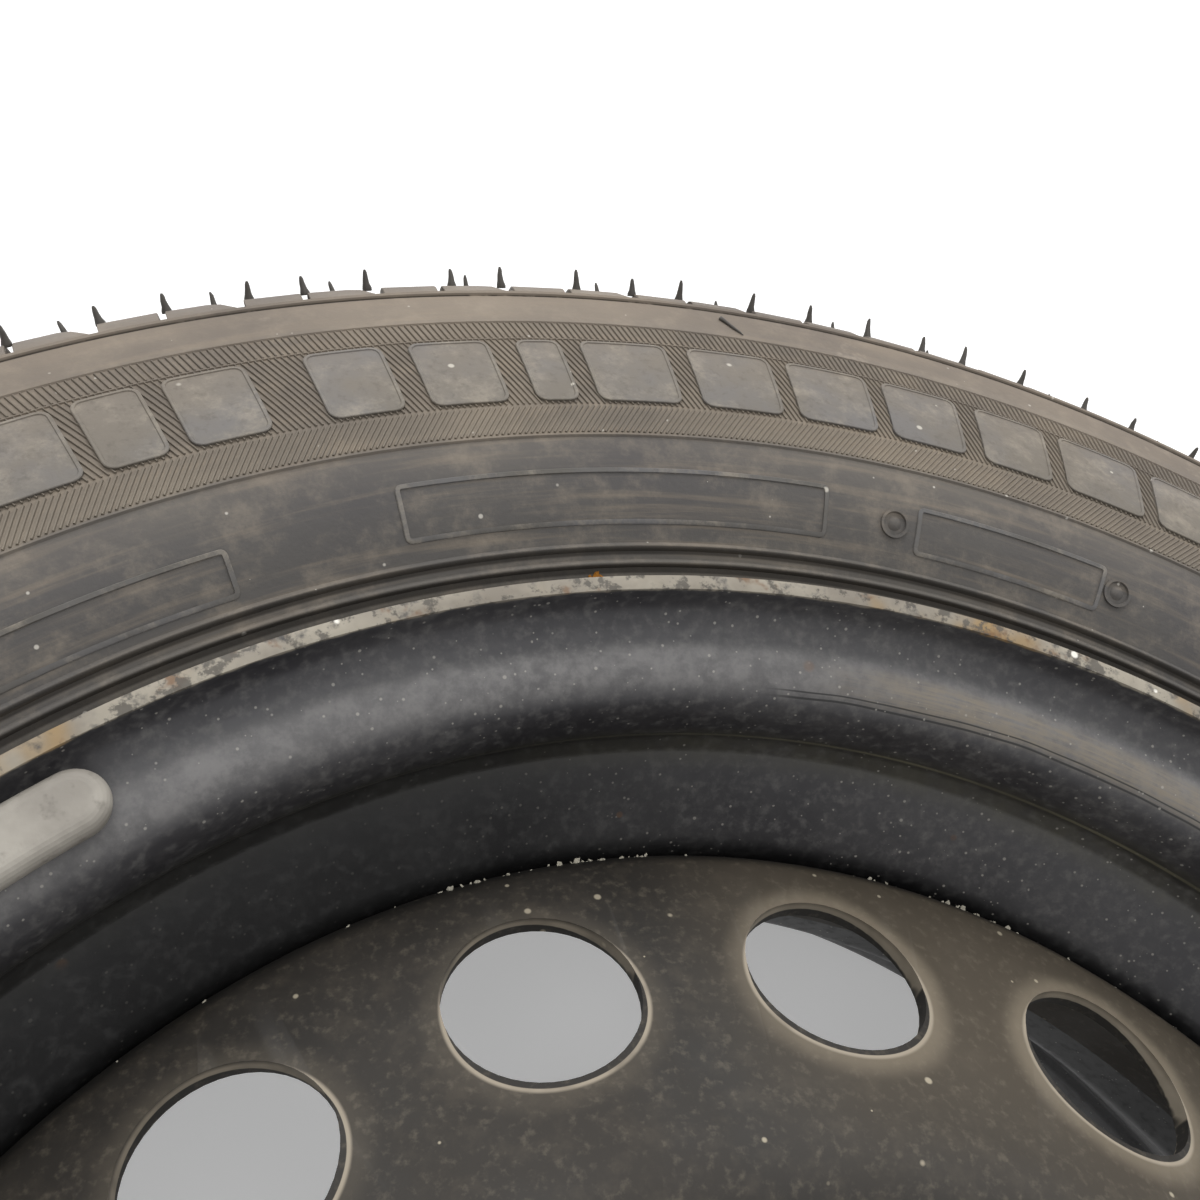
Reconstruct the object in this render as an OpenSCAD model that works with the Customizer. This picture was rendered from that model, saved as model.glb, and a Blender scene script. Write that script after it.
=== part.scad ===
// Steel car wheel with its tubeless tyre, lying on its side with its outer face up.
// The origin is on the axle line, in the plane that bolts to the hub, and +Z points outboard.
// Sections are drawn as [radius, height] with height 0 in the middle plane of the rim.

/* [Tyre] */
// Outer diameter over the tread
tyre_d = 595.5; // [560:0.5:720]
// Width over both sidewalls
tyre_w = 162; // [140:1:190]
// Radius of the tread's crown, seen in section
crown_r = 320; // [280:10:900]
// Drop from the tread's crown down to the mould line on the shoulder
shoulder_drop = 20; // [17:0.5:24]
// Step in from the sidewall's widest plane to the mould line
shoulder_step = 12; // [8:0.5:16]
// Step in from the mould line to the corner that the shoulder rounds off
corner_step = 8; // [6:0.5:10]
// Rounding of the shoulder between tread and sidewall
shoulder_r = 26; // [16:0.5:27]
// Depth of the tread grooves
tread_depth = 7; // [3:0.25:9]
// Rubber and belts under the grooves
tread_base = 6.5; // [5:0.25:9]
// Thickness of the sidewall
sidewall_t = 5.5; // [4:0.25:8]
// Width of the grooves that run round the tread
rib_groove_w = 8; // [4:0.5:11]
// Distance between neighbouring round grooves
rib_groove_step = 27; // [20:0.5:32]
// Number of tread blocks round each shoulder
block_count = 64; // [40:1:80]
// Width of the slots between shoulder blocks
slot_w = 4; // [2:0.25:7]
// Lean of the slots away from the axle line
slot_lean = 12; // [0:1:25]
// Height of the two raised rings above the bead
bead_ring_h = 0.9; // [0.4:0.1:1.5]
// Height of the lip that the mould leaves round the shoulder
mould_lip_h = 0.9; // [0.3:0.1:1.5]
// Height of the thin line moulded round the sidewall
side_line_h = 0.5; // [0.2:0.1:1]

/* [Rim] */
// Diameter of the bead seats
bead_seat_d = 380.2; // [350:0.2:420]
// Width between the flanges
rim_w = 127; // [105:1:155]
// Height of the flanges over the bead seats
flange_h = 17.3; // [14:0.1:20]
// Outer radius of the flange curl
curl_r = 9.5; // [8:0.25:11]
// Straight lip past the curl
lip_l = 2.2; // [1:0.1:4]
// Thickness of the rim's sheet
rim_t = 2.8; // [2:0.1:3.6]
// Slope of the bead seats, in degrees
seat_slope = 5; // [3:0.5:7]
// Distance from a flange to the top of its hump
hump_step = 16; // [14:0.5:20]
// Height of the humps over the bead seats' end
hump_h = 1.5; // [1:0.1:2.5]
// Depth of the well under the bead seats
well_depth = 17.5; // [14:0.1:24]
// Distance from the outboard flange in to the well's outboard end
well_step = 36; // [32:0.5:42]
// Depth of the well's inboard end below the middle plane
well_bottom = 15; // [8:0.5:24]

/* [Disc] */
// Distance from the middle plane out to the hub face
offset_out = 39; // [30:1:46]
// Thickness of the disc's sheet
disc_t = 3.5; // [2.5:0.1:4.5]
// Length of the cylinder that is pressed into the well
disc_edge_l = 21; // [12:0.5:30]
// Slope of the ring that carries the vent holes, in degrees
vent_slope = 30; // [22:1:36]
// Distance from the disc's edge in to the crown, its highest ring
crown_inset = 65.8; // [58:0.2:72]
// Rounding of the crown
crown_bend = 16; // [10:0.5:22]
// Diameter of the flat ring that bolts to the hub
hub_d = 168; // [150:1:176]
// Number of vent holes
vent_count = 16; // [6:1:18]
// Diameter of each vent hole
vent_d = 35; // [20:0.5:40]
// Distance from the disc's edge in to the circle through the vent holes
vent_inset = 27; // [24:0.5:32]
// Turn of the first vent hole from +X, in degrees
vent_turn = 18.5; // [0:0.5:60]
// Diameter of the hub bore
hub_bore_d = 54.1; // [45:0.1:74]
// Height of the turned-out lip round the hub bore
bore_lip_h = 9; // [5:0.5:14]
// Number of bolt holes
bolt_count = 4; // [3:1:5]
// Diameter of the bolt circle
bolt_circle_d = 100; // [98:1:115]
// Diameter of the bolt holes
bolt_hole_d = 15; // [12:0.5:18]
// Number of weld beads between disc and rim
weld_count = 8; // [4:1:12]

/* [Valve] */
// Turn of the valve from +X, in degrees
valve_turn = 250; // [180:1:330]
// Diameter of the valve hole in the rim
valve_hole_d = 11.5; // [10:0.1:16]
// Length of the brass stem past the rim's sheet
valve_l = 33; // [30:0.5:46]
// Diameter of the stem's threaded end
stem_thread_d = 7.7; // [7:0.1:8.5]
// Pitch of the stem's outer thread
cap_pitch = 0.79; // [0.5:0.01:1.2]
// Outer diameter of the cap
cap_d = 10; // [9.6:0.1:12]

/* [Balance weight] */
// Turn of the weight's near end from +X, in degrees
weight_turn = 128.5; // [90:0.5:160]
// Angle that the weight covers along the flange
weight_span = 15; // [8:0.5:24]
// Height of the weight's section along the flange wall
weight_h = 11; // [9:0.5:12]
// How far the weight stands out from the flange wall
weight_d = 7; // [5:0.5:8]
// Width of the spring clip
clip_w = 14; // [8:0.5:20]
// Thickness of the clip's strip
clip_t = 1; // [0.7:0.1:1.3]

/* [Clearances] */
// Gap between the tyre's bead and the rim
bead_fit = 0.15; // [0.1:0.01:0.2]
// Gap between pieces that are pressed or moulded together
press_fit = 0.02; // [0.01:0.01:0.05]
// Gap between the clip and what it grips
clip_gap = 0.1; // [0.05:0.01:0.2]
// Gap round pieces that slide or turn
running_fit = 0.08; // [0.05:0.01:0.1]

/* [Hidden] */
$fn = 96;
// Largest turn between neighbouring points of a drawn bend, in degrees
bend_step = 12;
// Small extra depth that lets a cut run clear of the surface it starts from
clear = 1;

tyre_r = tyre_d / 2;
half_w = tyre_w / 2;
seat_r = bead_seat_d / 2;
flange_r = seat_r + flange_h;
flange_z = rim_w / 2;
lip_z = flange_z + curl_r + lip_l;
well_r = seat_r - well_depth;
well_in_r = well_r - rim_t;
well_top = flange_z - well_step;

// Geometry of plane figures

function unit(v) = v / norm(v);
function left(v) = [-v.y, v.x];
function turned(v, a) = [v.x * cos(a) - v.y * sin(a), v.x * sin(a) + v.y * cos(a)];
function reversed(list) = [for (i = [len(list) - 1:-1:0]) list[i]];
function flipped(path) = [for (p = path) [p.x, -p.y]];

// Points of the arc that rounds the corner b of the line a-b-c to radius r
function bend(a, b, c, r) =
    let (u = unit(a - b), v = unit(c - b), half = acos(u * v) / 2,
         centre = b + unit(u + v) * r / sin(half),
         first = b + u * r / tan(half) - centre,
         sweep = (180 - 2 * half) * sign(cross(-u, v)),
         steps = ceil(abs(sweep) / bend_step))
    [for (i = [0:steps]) centre + turned(first, sweep * i / steps)];

// Line through [radius, height, rounding] corners, with each inner corner rounded
function rounded(corners) =
    let (last = len(corners) - 1, flat = [for (c = corners) [c[0], c[1]]])
    [for (i = [0:last])
        each (i == 0 || i == last || corners[i][2] == 0)
            ? [flat[i]]
            : bend(flat[i - 1], flat[i], flat[i + 1], corners[i][2])];

// The line moved sideways by d, to its left where d is positive
function mitre(path, i) =
    let (last = len(path) - 1, b = max(i, 1), a = min(i, last - 1),
         before = left(unit(path[b] - path[b - 1])), after = left(unit(path[a + 1] - path[a])))
    (before + after) / (1 + before * after);
function shifted(path, d) = [for (i = [0:len(path) - 1]) path[i] + d * mitre(path, i)];

// Outline of a sheet of thickness t along a middle line
function sheet(path, t) = concat(shifted(path, t / 2), reversed(shifted(path, -t / 2)));

// Cubic curve from a to d, leaving along a-b and arriving along c-d, without its first point
function curve(a, b, c, d, steps) =
    [for (i = [1:steps]) let (t = i / steps, s = 1 - t)
        s * s * s * a + 3 * s * s * t * b + 3 * s * t * t * c + t * t * t * d];

// Rim

// Middle line of the sheet from the lip in over the curl, the heel and the bead seat
seat_start = [seat_r - rim_t / 2, flange_z + rim_t / 2];
heel_r = 6.5;
hump_half = 4.2;
function seat_point(step) = seat_start - [step * tan(seat_slope), step];
flange_corners = [
    [flange_r - rim_t / 2, lip_z, 0],
    [flange_r - rim_t / 2, flange_z + rim_t / 2, curl_r - rim_t / 2],
    [seat_start.x, seat_start.y, heel_r + rim_t / 2],
];
hump_corners = [
    [seat_point(hump_step - hump_half).x, flange_z - hump_step + hump_half, 4],
    [seat_point(hump_step).x + hump_h, flange_z - hump_step, 3.5],
    [seat_point(hump_step + hump_half).x, flange_z - hump_step - hump_half, 4],
];
well_mid_r = well_r - rim_t / 2;
well_bend = 8;
function flip_corners(list) = [for (c = reversed(list)) [c[0], -c[1], c[2]]];
rim_line = rounded(concat(
    flange_corners, hump_corners,
    [[well_mid_r, well_top, well_bend], [well_mid_r, -well_bottom, well_bend]],
    flip_corners(hump_corners), flip_corners(flange_corners)));

module rim() {
    color("#23252a") lower() difference() {
        rotate_extrude() polygon(sheet(rim_line, rim_t));
        valve_place() translate([0, 0, -5 * rim_t])
            cylinder(h = 10 * rim_t, d = valve_hole_d);
    }
}

// Moves a shape from the rim's middle plane to the hub face's frame
module lower() {
    translate([0, 0, -offset_out]) children();
}

// Tyre

// How far up the sidewall its widest ring lies, as a share of its height
widest_share = 0.426;
// Widths of the parting lip and of the thin line, with their sloping flanks
mould_lip_w = 2.4;
side_line_w = 0.9;
flank_w = 0.3;
// Steps across the tread at which its crown is drawn, as shares of half the tread
crown_steps = [0, 0.35, 0.65];
mould_line = [tyre_r - shoulder_drop, half_w - shoulder_step];
widest = [seat_r + widest_share * (tyre_r - seat_r), half_w - 0.2];
bead_out = [flange_r + 8, flange_z + 11.5];
tread_half = mould_line.y - corner_step;

function crown_point(r, z) = [r - crown_r + sqrt(crown_r * crown_r - z * z), z];
// Crown and rounded shoulder down to the lip where the mould's halves part
shoulder_edge = crown_point(tyre_r, tread_half);
lip_foot = mould_line + (shoulder_edge - mould_line) * mould_lip_w / (shoulder_edge.x - mould_line.x);
shoulder = rounded([
    for (s = crown_steps) [each crown_point(tyre_r, tread_half * s), 0],
    [each shoulder_edge, shoulder_r],
    [each lip_foot, 0],
    [lip_foot.x - flank_w, mould_line.y + mould_lip_h, 0],
    [mould_line.x + 2 * flank_w, mould_line.y + mould_lip_h, 0],
    [mould_line.x + flank_w, mould_line.y - flank_w, 0],
    [each mould_line, 0]]);

// Thin line moulded round the sidewall just inside its widest ring
side_line_start = widest - [4 * flank_w, 0];
side_line_end = side_line_start - [side_line_w, 0];
side_line = [
    side_line_start,
    side_line_start + [-flank_w, side_line_h],
    side_line_end + [flank_w, side_line_h],
    side_line_end];

// Two raised rings on the slope between the sidewall and the flange
slope_end = [flange_r + 1.2, flange_z + curl_r - 1.5];
slope_way = unit(slope_end - bead_out);
slope_out = -left(slope_way);
function ring_at(step) = [
    bead_out + slope_way * step,
    bead_out + slope_way * (step + 0.4) + slope_out * bead_ring_h,
    bead_out + slope_way * (step + 1.2) + slope_out * bead_ring_h,
    bead_out + slope_way * (step + 1.6)];

// The bead follows the rim's own line, a named gap away from it
bead_line = shifted(rounded(concat(flange_corners, [hump_corners[0]])), rim_t / 2 + bead_fit);
bead_contact = [for (p = bead_line) if (p.y < flange_z + curl_r - 1.5 && p.x < flange_r + 1) p];
toe = bead_contact[len(bead_contact) - 1];

outer_wall = concat(
    shoulder,
    curve(mould_line, mould_line + [-14.8, 4.9], widest + [12, -0.9], widest, 10),
    side_line,
    curve(side_line_end, widest + [-9, 0.4], bead_out + [5, 2.6], bead_out, 6),
    ring_at(0.8), ring_at(3.8), [slope_end]);
bead_top = [flange_r - 2.4, flange_z - 7];
wall_in = widest - [0, sidewall_t];
crown_in = tyre_r - tread_depth - tread_base;
crown_in_end = crown_point(crown_in, tread_half * 0.7);
inner_wall = concat(
    [toe + [1.5, -1.2], toe + [6, 1]],
    curve(toe + [6, 1], toe + [10, 3], bead_top - [4, 5], bead_top, 4),
    curve(bead_top, bead_top + [9, 8.5], wall_in - [12, 0.3], wall_in, 6),
    curve(wall_in, wall_in + [20, 0], crown_in_end + [-4, 14], crown_in_end, 8),
    [crown_point(crown_in, tread_half * 0.35)]);
tyre_half = concat(outer_wall, bead_contact, inner_wall);
tyre_outline = concat(tyre_half, [[crown_in, 0]], reversed(flipped(tyre_half)));

// Three grooves that run round the tread, each with walls that lean outwards
module rib_grooves() {
    half = rib_groove_w / 2;
    wall_lean = 1.2;
    for (i = [-1:1]) {
        floor_r = crown_point(tyre_r, i * rib_groove_step).x - tread_depth;
        translate([0, i * rib_groove_step])
            polygon([[floor_r, -half + wall_lean], [floor_r, half - wall_lean],
                     [tyre_r + clear, half], [tyre_r + clear, -half]]);
    }
}

// One slot between two shoulder blocks, from the outer round groove out past the shoulder
module shoulder_slot() {
    inner_z = rib_groove_step + rib_groove_w;
    bend_z = tread_half * 0.78;
    reach = tyre_r + 3 * clear;
    translate([0, slot_w / 2, 0]) rotate([slot_lean, 0, 0])
        rotate([90, 0, 0]) linear_extrude(height = slot_w) polygon([
            [crown_point(tyre_r, inner_z).x - tread_depth + 1, inner_z],
            [crown_point(tyre_r, bend_z).x - tread_depth + 1, bend_z],
            mould_line + [mould_lip_w + 0.1, 0], mould_line + [mould_lip_w + 0.1, 3 * clear],
            [reach, mould_line.y + 3 * clear], [reach, inner_z]]);
}

module tyre() {
    color("#4b4641") lower() difference() {
        rotate_extrude() difference() {
            polygon(tyre_outline);
            rib_grooves();
        }
        for (side = [0, 1], i = [0:block_count - 1])
            mirror([0, 0, side]) rotate((i + side / 2) * 360 / block_count) shoulder_slot();
    }
}

// Disc

disc_out_r = well_in_r - press_fit;
hub_mid_z = offset_out + disc_t / 2;
disc_mid_r = disc_out_r - disc_t / 2;
edge_bend = 6.2;
edge_z = well_top + 1.6;
crown_at = well_in_r - crown_inset;
crown_z = edge_z + (disc_mid_r - crown_at) * tan(vent_slope);
hub_bend = 8;
disc_line = rounded([
    [disc_mid_r, edge_z - disc_edge_l - 4, 0],
    [disc_mid_r, edge_z, edge_bend],
    [crown_at, crown_z, crown_bend],
    [hub_d / 2, hub_mid_z, hub_bend],
    [hub_bore_d / 2, hub_mid_z, 0]]);
seat_h = 2.6;
seat_top_d = bolt_hole_d + 7;

// Turned-out lip of the hub bore, with its outer edge eased
module bore_lip() {
    wall = 3.2;
    ease = 1;
    translate([hub_bore_d / 2, offset_out])
        polygon([[0, 0], [wall + 2, 0], [wall + 2, disc_t], [wall, disc_t + 2],
                 [wall, bore_lip_h - ease], [wall - ease, bore_lip_h], [0, bore_lip_h]]);
}

// Puts children on the bolt circle, at the height of the hub face
module at_bolts() {
    for (i = [0:bolt_count - 1])
        rotate(i * 360 / bolt_count) translate([bolt_circle_d / 2, 0, offset_out]) children();
}

// Puts children on the vent circle, square to the sloping ring
module at_vents() {
    vent_at = well_in_r - vent_inset;
    vent_z = edge_z + (disc_mid_r - vent_at) * tan(vent_slope);
    for (i = [0:vent_count - 1])
        rotate(vent_turn + i * 360 / vent_count)
            translate([vent_at, 0, vent_z]) rotate([0, vent_slope, 0]) children();
}

module wheel_disc() {
    color("#2b2825") lower() difference() {
        union() {
            rotate_extrude() union() {
                polygon(sheet(disc_line, disc_t));
                bore_lip();
            }
            at_bolts() translate([0, 0, disc_t - 0.5])
                cylinder(h = seat_h + 0.5, d1 = seat_top_d + 9, d2 = seat_top_d + 3);
        }
        at_vents() translate([0, 0, -5 * disc_t]) cylinder(h = 10 * disc_t, d = vent_d);
        at_bolts() {
            translate([0, 0, -clear]) cylinder(h = disc_t + seat_h + 2 * clear, d = bolt_hole_d);
            translate([0, 0, disc_t + seat_h - (seat_top_d - bolt_hole_d) / 2 / tan(30)])
                cylinder(h = (seat_top_d - bolt_hole_d) / 2 / tan(30) + 0.01,
                         d1 = bolt_hole_d, d2 = seat_top_d + 0.01);
        }
    }
}

// Fillet weld beads in the corner between the disc's inboard edge and the well
module disc_welds() {
    leg = disc_t * 0.9;
    // Share of the turn that the beads fill
    fill = 0.6;
    edge = edge_z - disc_edge_l - 4;
    color("#3a3a3c") lower() for (i = [0:weld_count - 1])
        rotate((i + 1 / 4) * 360 / weld_count)
            rotate_extrude(angle = fill * 360 / weld_count)
                polygon([[disc_out_r, edge - press_fit], [disc_out_r - leg, edge - press_fit],
                         [disc_out_r - leg * 0.3, edge - leg * 0.7], [disc_out_r, edge - leg]]);
}

// Valve

hump_foot = [seat_point(hump_step + hump_half).x, flange_z - hump_step - hump_half];
valve_seat = (hump_foot + [well_mid_r, well_top]) / 2;
valve_way = unit(left(unit([well_mid_r, well_top] - hump_foot)) * -1);

// Puts children on the valve's own axis: 0 in the middle of the sheet, +Z towards the cap
module valve_place() {
    rotate(valve_turn) translate([valve_seat.x, 0, valve_seat.y])
        rotate([0, atan2(valve_way.x, valve_way.y), 0]) children();
}

stem_r = 3.1;
stem_bore_r = 1.6;
core_bore_r = 2.3;
core_seat_w = valve_l - 14;
thread_w = valve_l - 9;
core_top = valve_l - 0.8;
barrel_r = 1.4;
barrel_bore_r = 1.1;
barrel_end = core_seat_w - 3.5;
guide_r = 0.55 + running_fit;
pin_r = 0.55;
pin_stroke = 1;
collar_w = core_top - 4.5;
spring_foot = barrel_end + 1.5;
cup_h = 1.8;
bulb_w = 8;

module valve_rubber() {
    neck = rim_t / 2 + 0.2;
    neck_r = valve_hole_d / 2 - press_fit;
    bulb_r = neck_r + 2;
    collar_r = neck_r + 1.5;
    color("#232322") lower() valve_place() rotate_extrude() polygon([
        [stem_r + press_fit, -bulb_w + 2], [bulb_r - 1.5, -bulb_w], [bulb_r, -bulb_w + 1.5],
        [bulb_r, -neck - 1.2], [bulb_r - 1, -neck], [neck_r, -neck],
        [neck_r, neck], [collar_r, neck], [collar_r, neck + 2.5], [collar_r - 0.8, neck + 4.5],
        [5, thread_w * 0.6], [4.9, thread_w - 1], [4.4, thread_w], [stem_r + press_fit, thread_w]]);
}

module valve_stem() {
    r = stem_thread_d / 2;
    color("#b08d4a") lower() valve_place() rotate_extrude() polygon([
        [stem_bore_r, -bulb_w + 2], [stem_r, -bulb_w + 2], [stem_r, thread_w],
        [r - 0.4, thread_w + 0.2], [r, thread_w + 0.8], [r, valve_l - 0.5], [r - 0.5, valve_l],
        [core_bore_r, valve_l], [core_bore_r, core_seat_w], [stem_bore_r, core_seat_w - 1.2]]);
}

module valve_core_body() {
    head_r = core_bore_r - press_fit;
    color("#c2a35c") lower() valve_place() rotate_extrude() polygon([
        [guide_r, barrel_end], [barrel_r, barrel_end], [barrel_r, core_seat_w + 2],
        [head_r, core_seat_w + 2.6], [head_r, core_top - 3], [1.6, core_top - 2.6],
        [1.6, core_top - 1.2], [guide_r, core_top - 1.2], [guide_r, core_top - 2.4],
        [barrel_bore_r, core_top - 2.4], [barrel_bore_r, spring_foot], [guide_r, spring_foot]]);
}

module valve_core_gasket() {
    color("#d8d4c8") lower() valve_place() rotate_extrude() polygon([
        [barrel_r + press_fit, core_seat_w + 0.1], [core_bore_r - 0.5, core_seat_w + 0.1],
        [core_bore_r - press_fit, core_seat_w + 0.7], [core_bore_r - press_fit, core_seat_w + 1.9],
        [barrel_r + press_fit, core_seat_w + 1.9]]);
}

module valve_core_pin() {
    color("#c2a35c") lower() valve_place() rotate_extrude() polygon([
        [0, barrel_end - cup_h], [pin_r, barrel_end - cup_h], [pin_r, collar_w],
        [barrel_bore_r - running_fit, collar_w], [barrel_bore_r - running_fit, collar_w + 1],
        [pin_r, collar_w + 1], [pin_r, core_top - 0.6 + pin_stroke - 0.4],
        [pin_r - 0.2, core_top + pin_stroke - 0.8], [0, core_top + pin_stroke - 0.8]]);
}

module valve_core_cup() {
    color("#2a2a2a") lower() valve_place() rotate_extrude() polygon([
        [pin_r + press_fit, barrel_end - cup_h], [stem_bore_r - 0.3, barrel_end - cup_h],
        [stem_bore_r - 0.3, barrel_end - 0.6], [stem_bore_r - 0.5, barrel_end - 0.05],
        [pin_r + press_fit, barrel_end - 0.05]]);
}

// Round wire swept along a helix, with flat ends
module spring_coil(r, wire, height, turns) {
    sides = 6;
    per_turn = 12;
    rings = turns * per_turn;
    corners = [for (i = [0:rings], k = [0:sides - 1])
        let (a = i * 360 / per_turn, b = k * 360 / sides, q = r + wire * cos(b))
        [q * cos(a), q * sin(a), wire + (height - 2 * wire) * i / rings + wire * sin(b)]];
    walls = [for (i = [0:rings - 1], k = [0:sides - 1])
        let (n = (k + 1) % sides, p = i * sides, q = p + sides)
        each [[p + k, q + n, q + k], [p + k, p + n, q + n]]];
    ends = [[for (k = [sides - 1:-1:0]) k], [for (k = [0:sides - 1]) rings * sides + k]];
    polyhedron(corners, concat(walls, ends));
}

module valve_core_spring() {
    color("#9a9a9a") lower() valve_place() translate([0, 0, spring_foot + press_fit])
        spring_coil((pin_r + barrel_bore_r) / 2, 0.12, collar_w - spring_foot - 2 * press_fit, 7);
}

cap_in_r = stem_thread_d / 2 + running_fit;
cap_seal_t = 0.8;
cap_foot = thread_w + 1;
cap_ceiling = valve_l + 0.1 + cap_seal_t;
cap_top = cap_ceiling + 1.4;

module valve_cap() {
    rib_count = 12;
    r = cap_d / 2;
    color("#2d2d2e") lower() valve_place() difference() {
        union() {
            rotate_extrude() polygon([
                [0, cap_foot], [r, cap_foot], [r, cap_foot + 2.4], [r - 0.4, cap_foot + 2.8],
                [r - 0.6, cap_top - 0.8], [r - 1.4, cap_top], [0, cap_top]]);
            for (i = [0:rib_count - 1]) rotate(i * 360 / rib_count)
                translate([r - 0.75, -0.3, cap_foot + 1]) cube([0.7, 0.6, cap_top - cap_foot - 2.4]);
        }
        translate([0, 0, cap_foot - clear])
            cylinder(h = cap_ceiling - cap_foot + clear, r = cap_in_r);
    }
}

module valve_cap_seal() {
    color("#1f1f1f") lower() valve_place() translate([0, 0, cap_ceiling - cap_seal_t + press_fit])
        difference() {
            cylinder(h = cap_seal_t - 2 * press_fit, r = cap_in_r - running_fit);
            translate([0, 0, -clear]) cylinder(h = cap_seal_t + 2 * clear, r = 1.5);
        }
}

// Balance weight

weight_wall_z = flange_z + rim_t + press_fit;
weight_mid_r = flange_r - curl_r + 4.5 - weight_h / 2;

// Right half of the weight's section. Its back is eased where the flange curls away from the wall.
back_round = curl_r - rim_t - 2.3;
weight_round = weight_d - back_round - 0.1;
weight_half = concat(
    [[0, 0]],
    [for (a = [-90:15:0]) [weight_h / 2 - back_round + back_round * cos(a), back_round * (1 + sin(a))]],
    [for (a = [0:15:90]) [weight_h / 2, weight_d] + weight_round * [cos(a) - 1, sin(a) - 1]],
    [[0, weight_d]]);
weight_section = concat(
    [for (i = [1:len(weight_half) - 2]) weight_half[i]],
    [for (i = [len(weight_half) - 2:-1:1]) [-weight_half[i].x, weight_half[i].y]]);

module balance_weight() {
    color("#8d8d8a") lower() rotate(weight_turn) translate([0, 0, weight_wall_z]) union() {
        rotate_extrude(angle = weight_span) translate([weight_mid_r, 0]) polygon(weight_section);
        translate([weight_mid_r, 0, 0])
            rotate(180) rotate_extrude(angle = 180) polygon(weight_half);
        rotate(weight_span) translate([weight_mid_r, 0, 0])
            rotate_extrude(angle = 180) polygon(weight_half);
    }
}

// Spring strip that grips the flange's lip and bends down over the weight's face
module balance_weight_clip() {
    in_r = flange_r - rim_t - clip_gap;
    face_z = weight_wall_z + weight_d + clip_gap;
    clip_line = rounded([
        [flange_r + clip_gap + clip_t / 2, flange_z + curl_r - 0.5, 0],
        [flange_r + clip_gap + clip_t / 2, lip_z + clip_gap + clip_t / 2, 0.9],
        [in_r - clip_t / 2, lip_z + clip_gap + clip_t / 2, 0.9],
        [in_r - clip_t / 2, face_z + clip_t / 2, 0.6],
        [weight_mid_r - 2, face_z + clip_t / 2, 0]]);
    angle = clip_w / weight_mid_r * 180 / PI;
    color("#77787a") lower()
        rotate(weight_turn + (weight_span - angle) / 2)
            rotate_extrude(angle = angle) polygon(sheet(clip_line, clip_t));
}

tyre();
rim();
wheel_disc();
disc_welds();
valve_rubber();
valve_stem();
valve_core_body();
valve_core_gasket();
valve_core_pin();
valve_core_cup();
valve_core_spring();
valve_cap();
valve_cap_seal();
balance_weight();
balance_weight_clip();
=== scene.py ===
import math
import random

import bmesh
import bpy
from mathutils import Matrix, Vector


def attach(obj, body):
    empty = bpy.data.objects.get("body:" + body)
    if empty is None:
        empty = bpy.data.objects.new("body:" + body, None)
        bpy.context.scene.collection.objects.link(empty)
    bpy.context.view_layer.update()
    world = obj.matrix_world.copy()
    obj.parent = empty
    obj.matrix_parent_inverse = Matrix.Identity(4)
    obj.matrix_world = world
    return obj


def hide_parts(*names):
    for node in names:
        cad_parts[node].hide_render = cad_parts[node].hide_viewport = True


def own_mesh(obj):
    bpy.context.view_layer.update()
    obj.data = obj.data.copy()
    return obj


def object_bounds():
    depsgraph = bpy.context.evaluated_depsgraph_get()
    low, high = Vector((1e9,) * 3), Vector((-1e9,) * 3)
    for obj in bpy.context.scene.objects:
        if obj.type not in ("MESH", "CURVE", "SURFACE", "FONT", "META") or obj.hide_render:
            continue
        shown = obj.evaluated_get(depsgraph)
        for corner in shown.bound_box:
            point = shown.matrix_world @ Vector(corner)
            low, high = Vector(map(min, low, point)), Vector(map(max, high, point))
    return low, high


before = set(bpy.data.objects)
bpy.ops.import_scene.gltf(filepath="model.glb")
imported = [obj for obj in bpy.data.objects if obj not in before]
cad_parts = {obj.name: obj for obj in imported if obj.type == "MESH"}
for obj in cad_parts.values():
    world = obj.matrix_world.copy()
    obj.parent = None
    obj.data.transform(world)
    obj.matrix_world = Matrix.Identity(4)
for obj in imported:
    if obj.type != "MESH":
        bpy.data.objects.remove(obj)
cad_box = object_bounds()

# View and light
# The camera looks down over the wheel's outer face from close by, past the hub towards the tread.
# A pale floor carries the tyre. Three wide soft lamps beyond the tread, overhead and at the right add
# to an even white room.
camera_data = bpy.data.cameras.new("camera")
camera_data.lens = 36.87
camera = bpy.data.objects.new("camera", camera_data)
bpy.context.scene.collection.objects.link(camera)
camera_right = Vector((0.9658, 0.0, 0.2594))
camera_up = Vector((-0.1280, 0.8699, 0.4764))
camera_back = camera_right.cross(camera_up)
camera.matrix_world = Matrix.Translation((-0.0923, 0.0910, 0.2185)) @ Matrix(
    (camera_right, camera_up, camera_back)).transposed().to_4x4()
bpy.context.scene.camera = camera
bpy.context.scene.view_settings.view_transform = "Standard"


def colour(code):
    """A colour written as in a paint list, as the shader's linear values."""
    shares = [int(code[i:i + 2], 16) / 255 for i in (0, 2, 4)]
    return [s / 12.92 if s <= 0.04045 else ((s + 0.055) / 1.055) ** 2.4 for s in shares] + [1.0]


def seen_directly(nodes, links):
    """1 for what the camera, a reflection or a clear piece shows, 0 for light."""
    path = nodes.new("ShaderNodeLightPath")
    total = path.outputs["Is Camera Ray"]
    for ray in ("Is Glossy Ray", "Is Transmission Ray"):
        both = nodes.new("ShaderNodeMath")
        both.operation = "MAXIMUM"
        links.new(total, both.inputs[0])
        links.new(path.outputs[ray], both.inputs[1])
        total = both.outputs[0]
    return total


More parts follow.
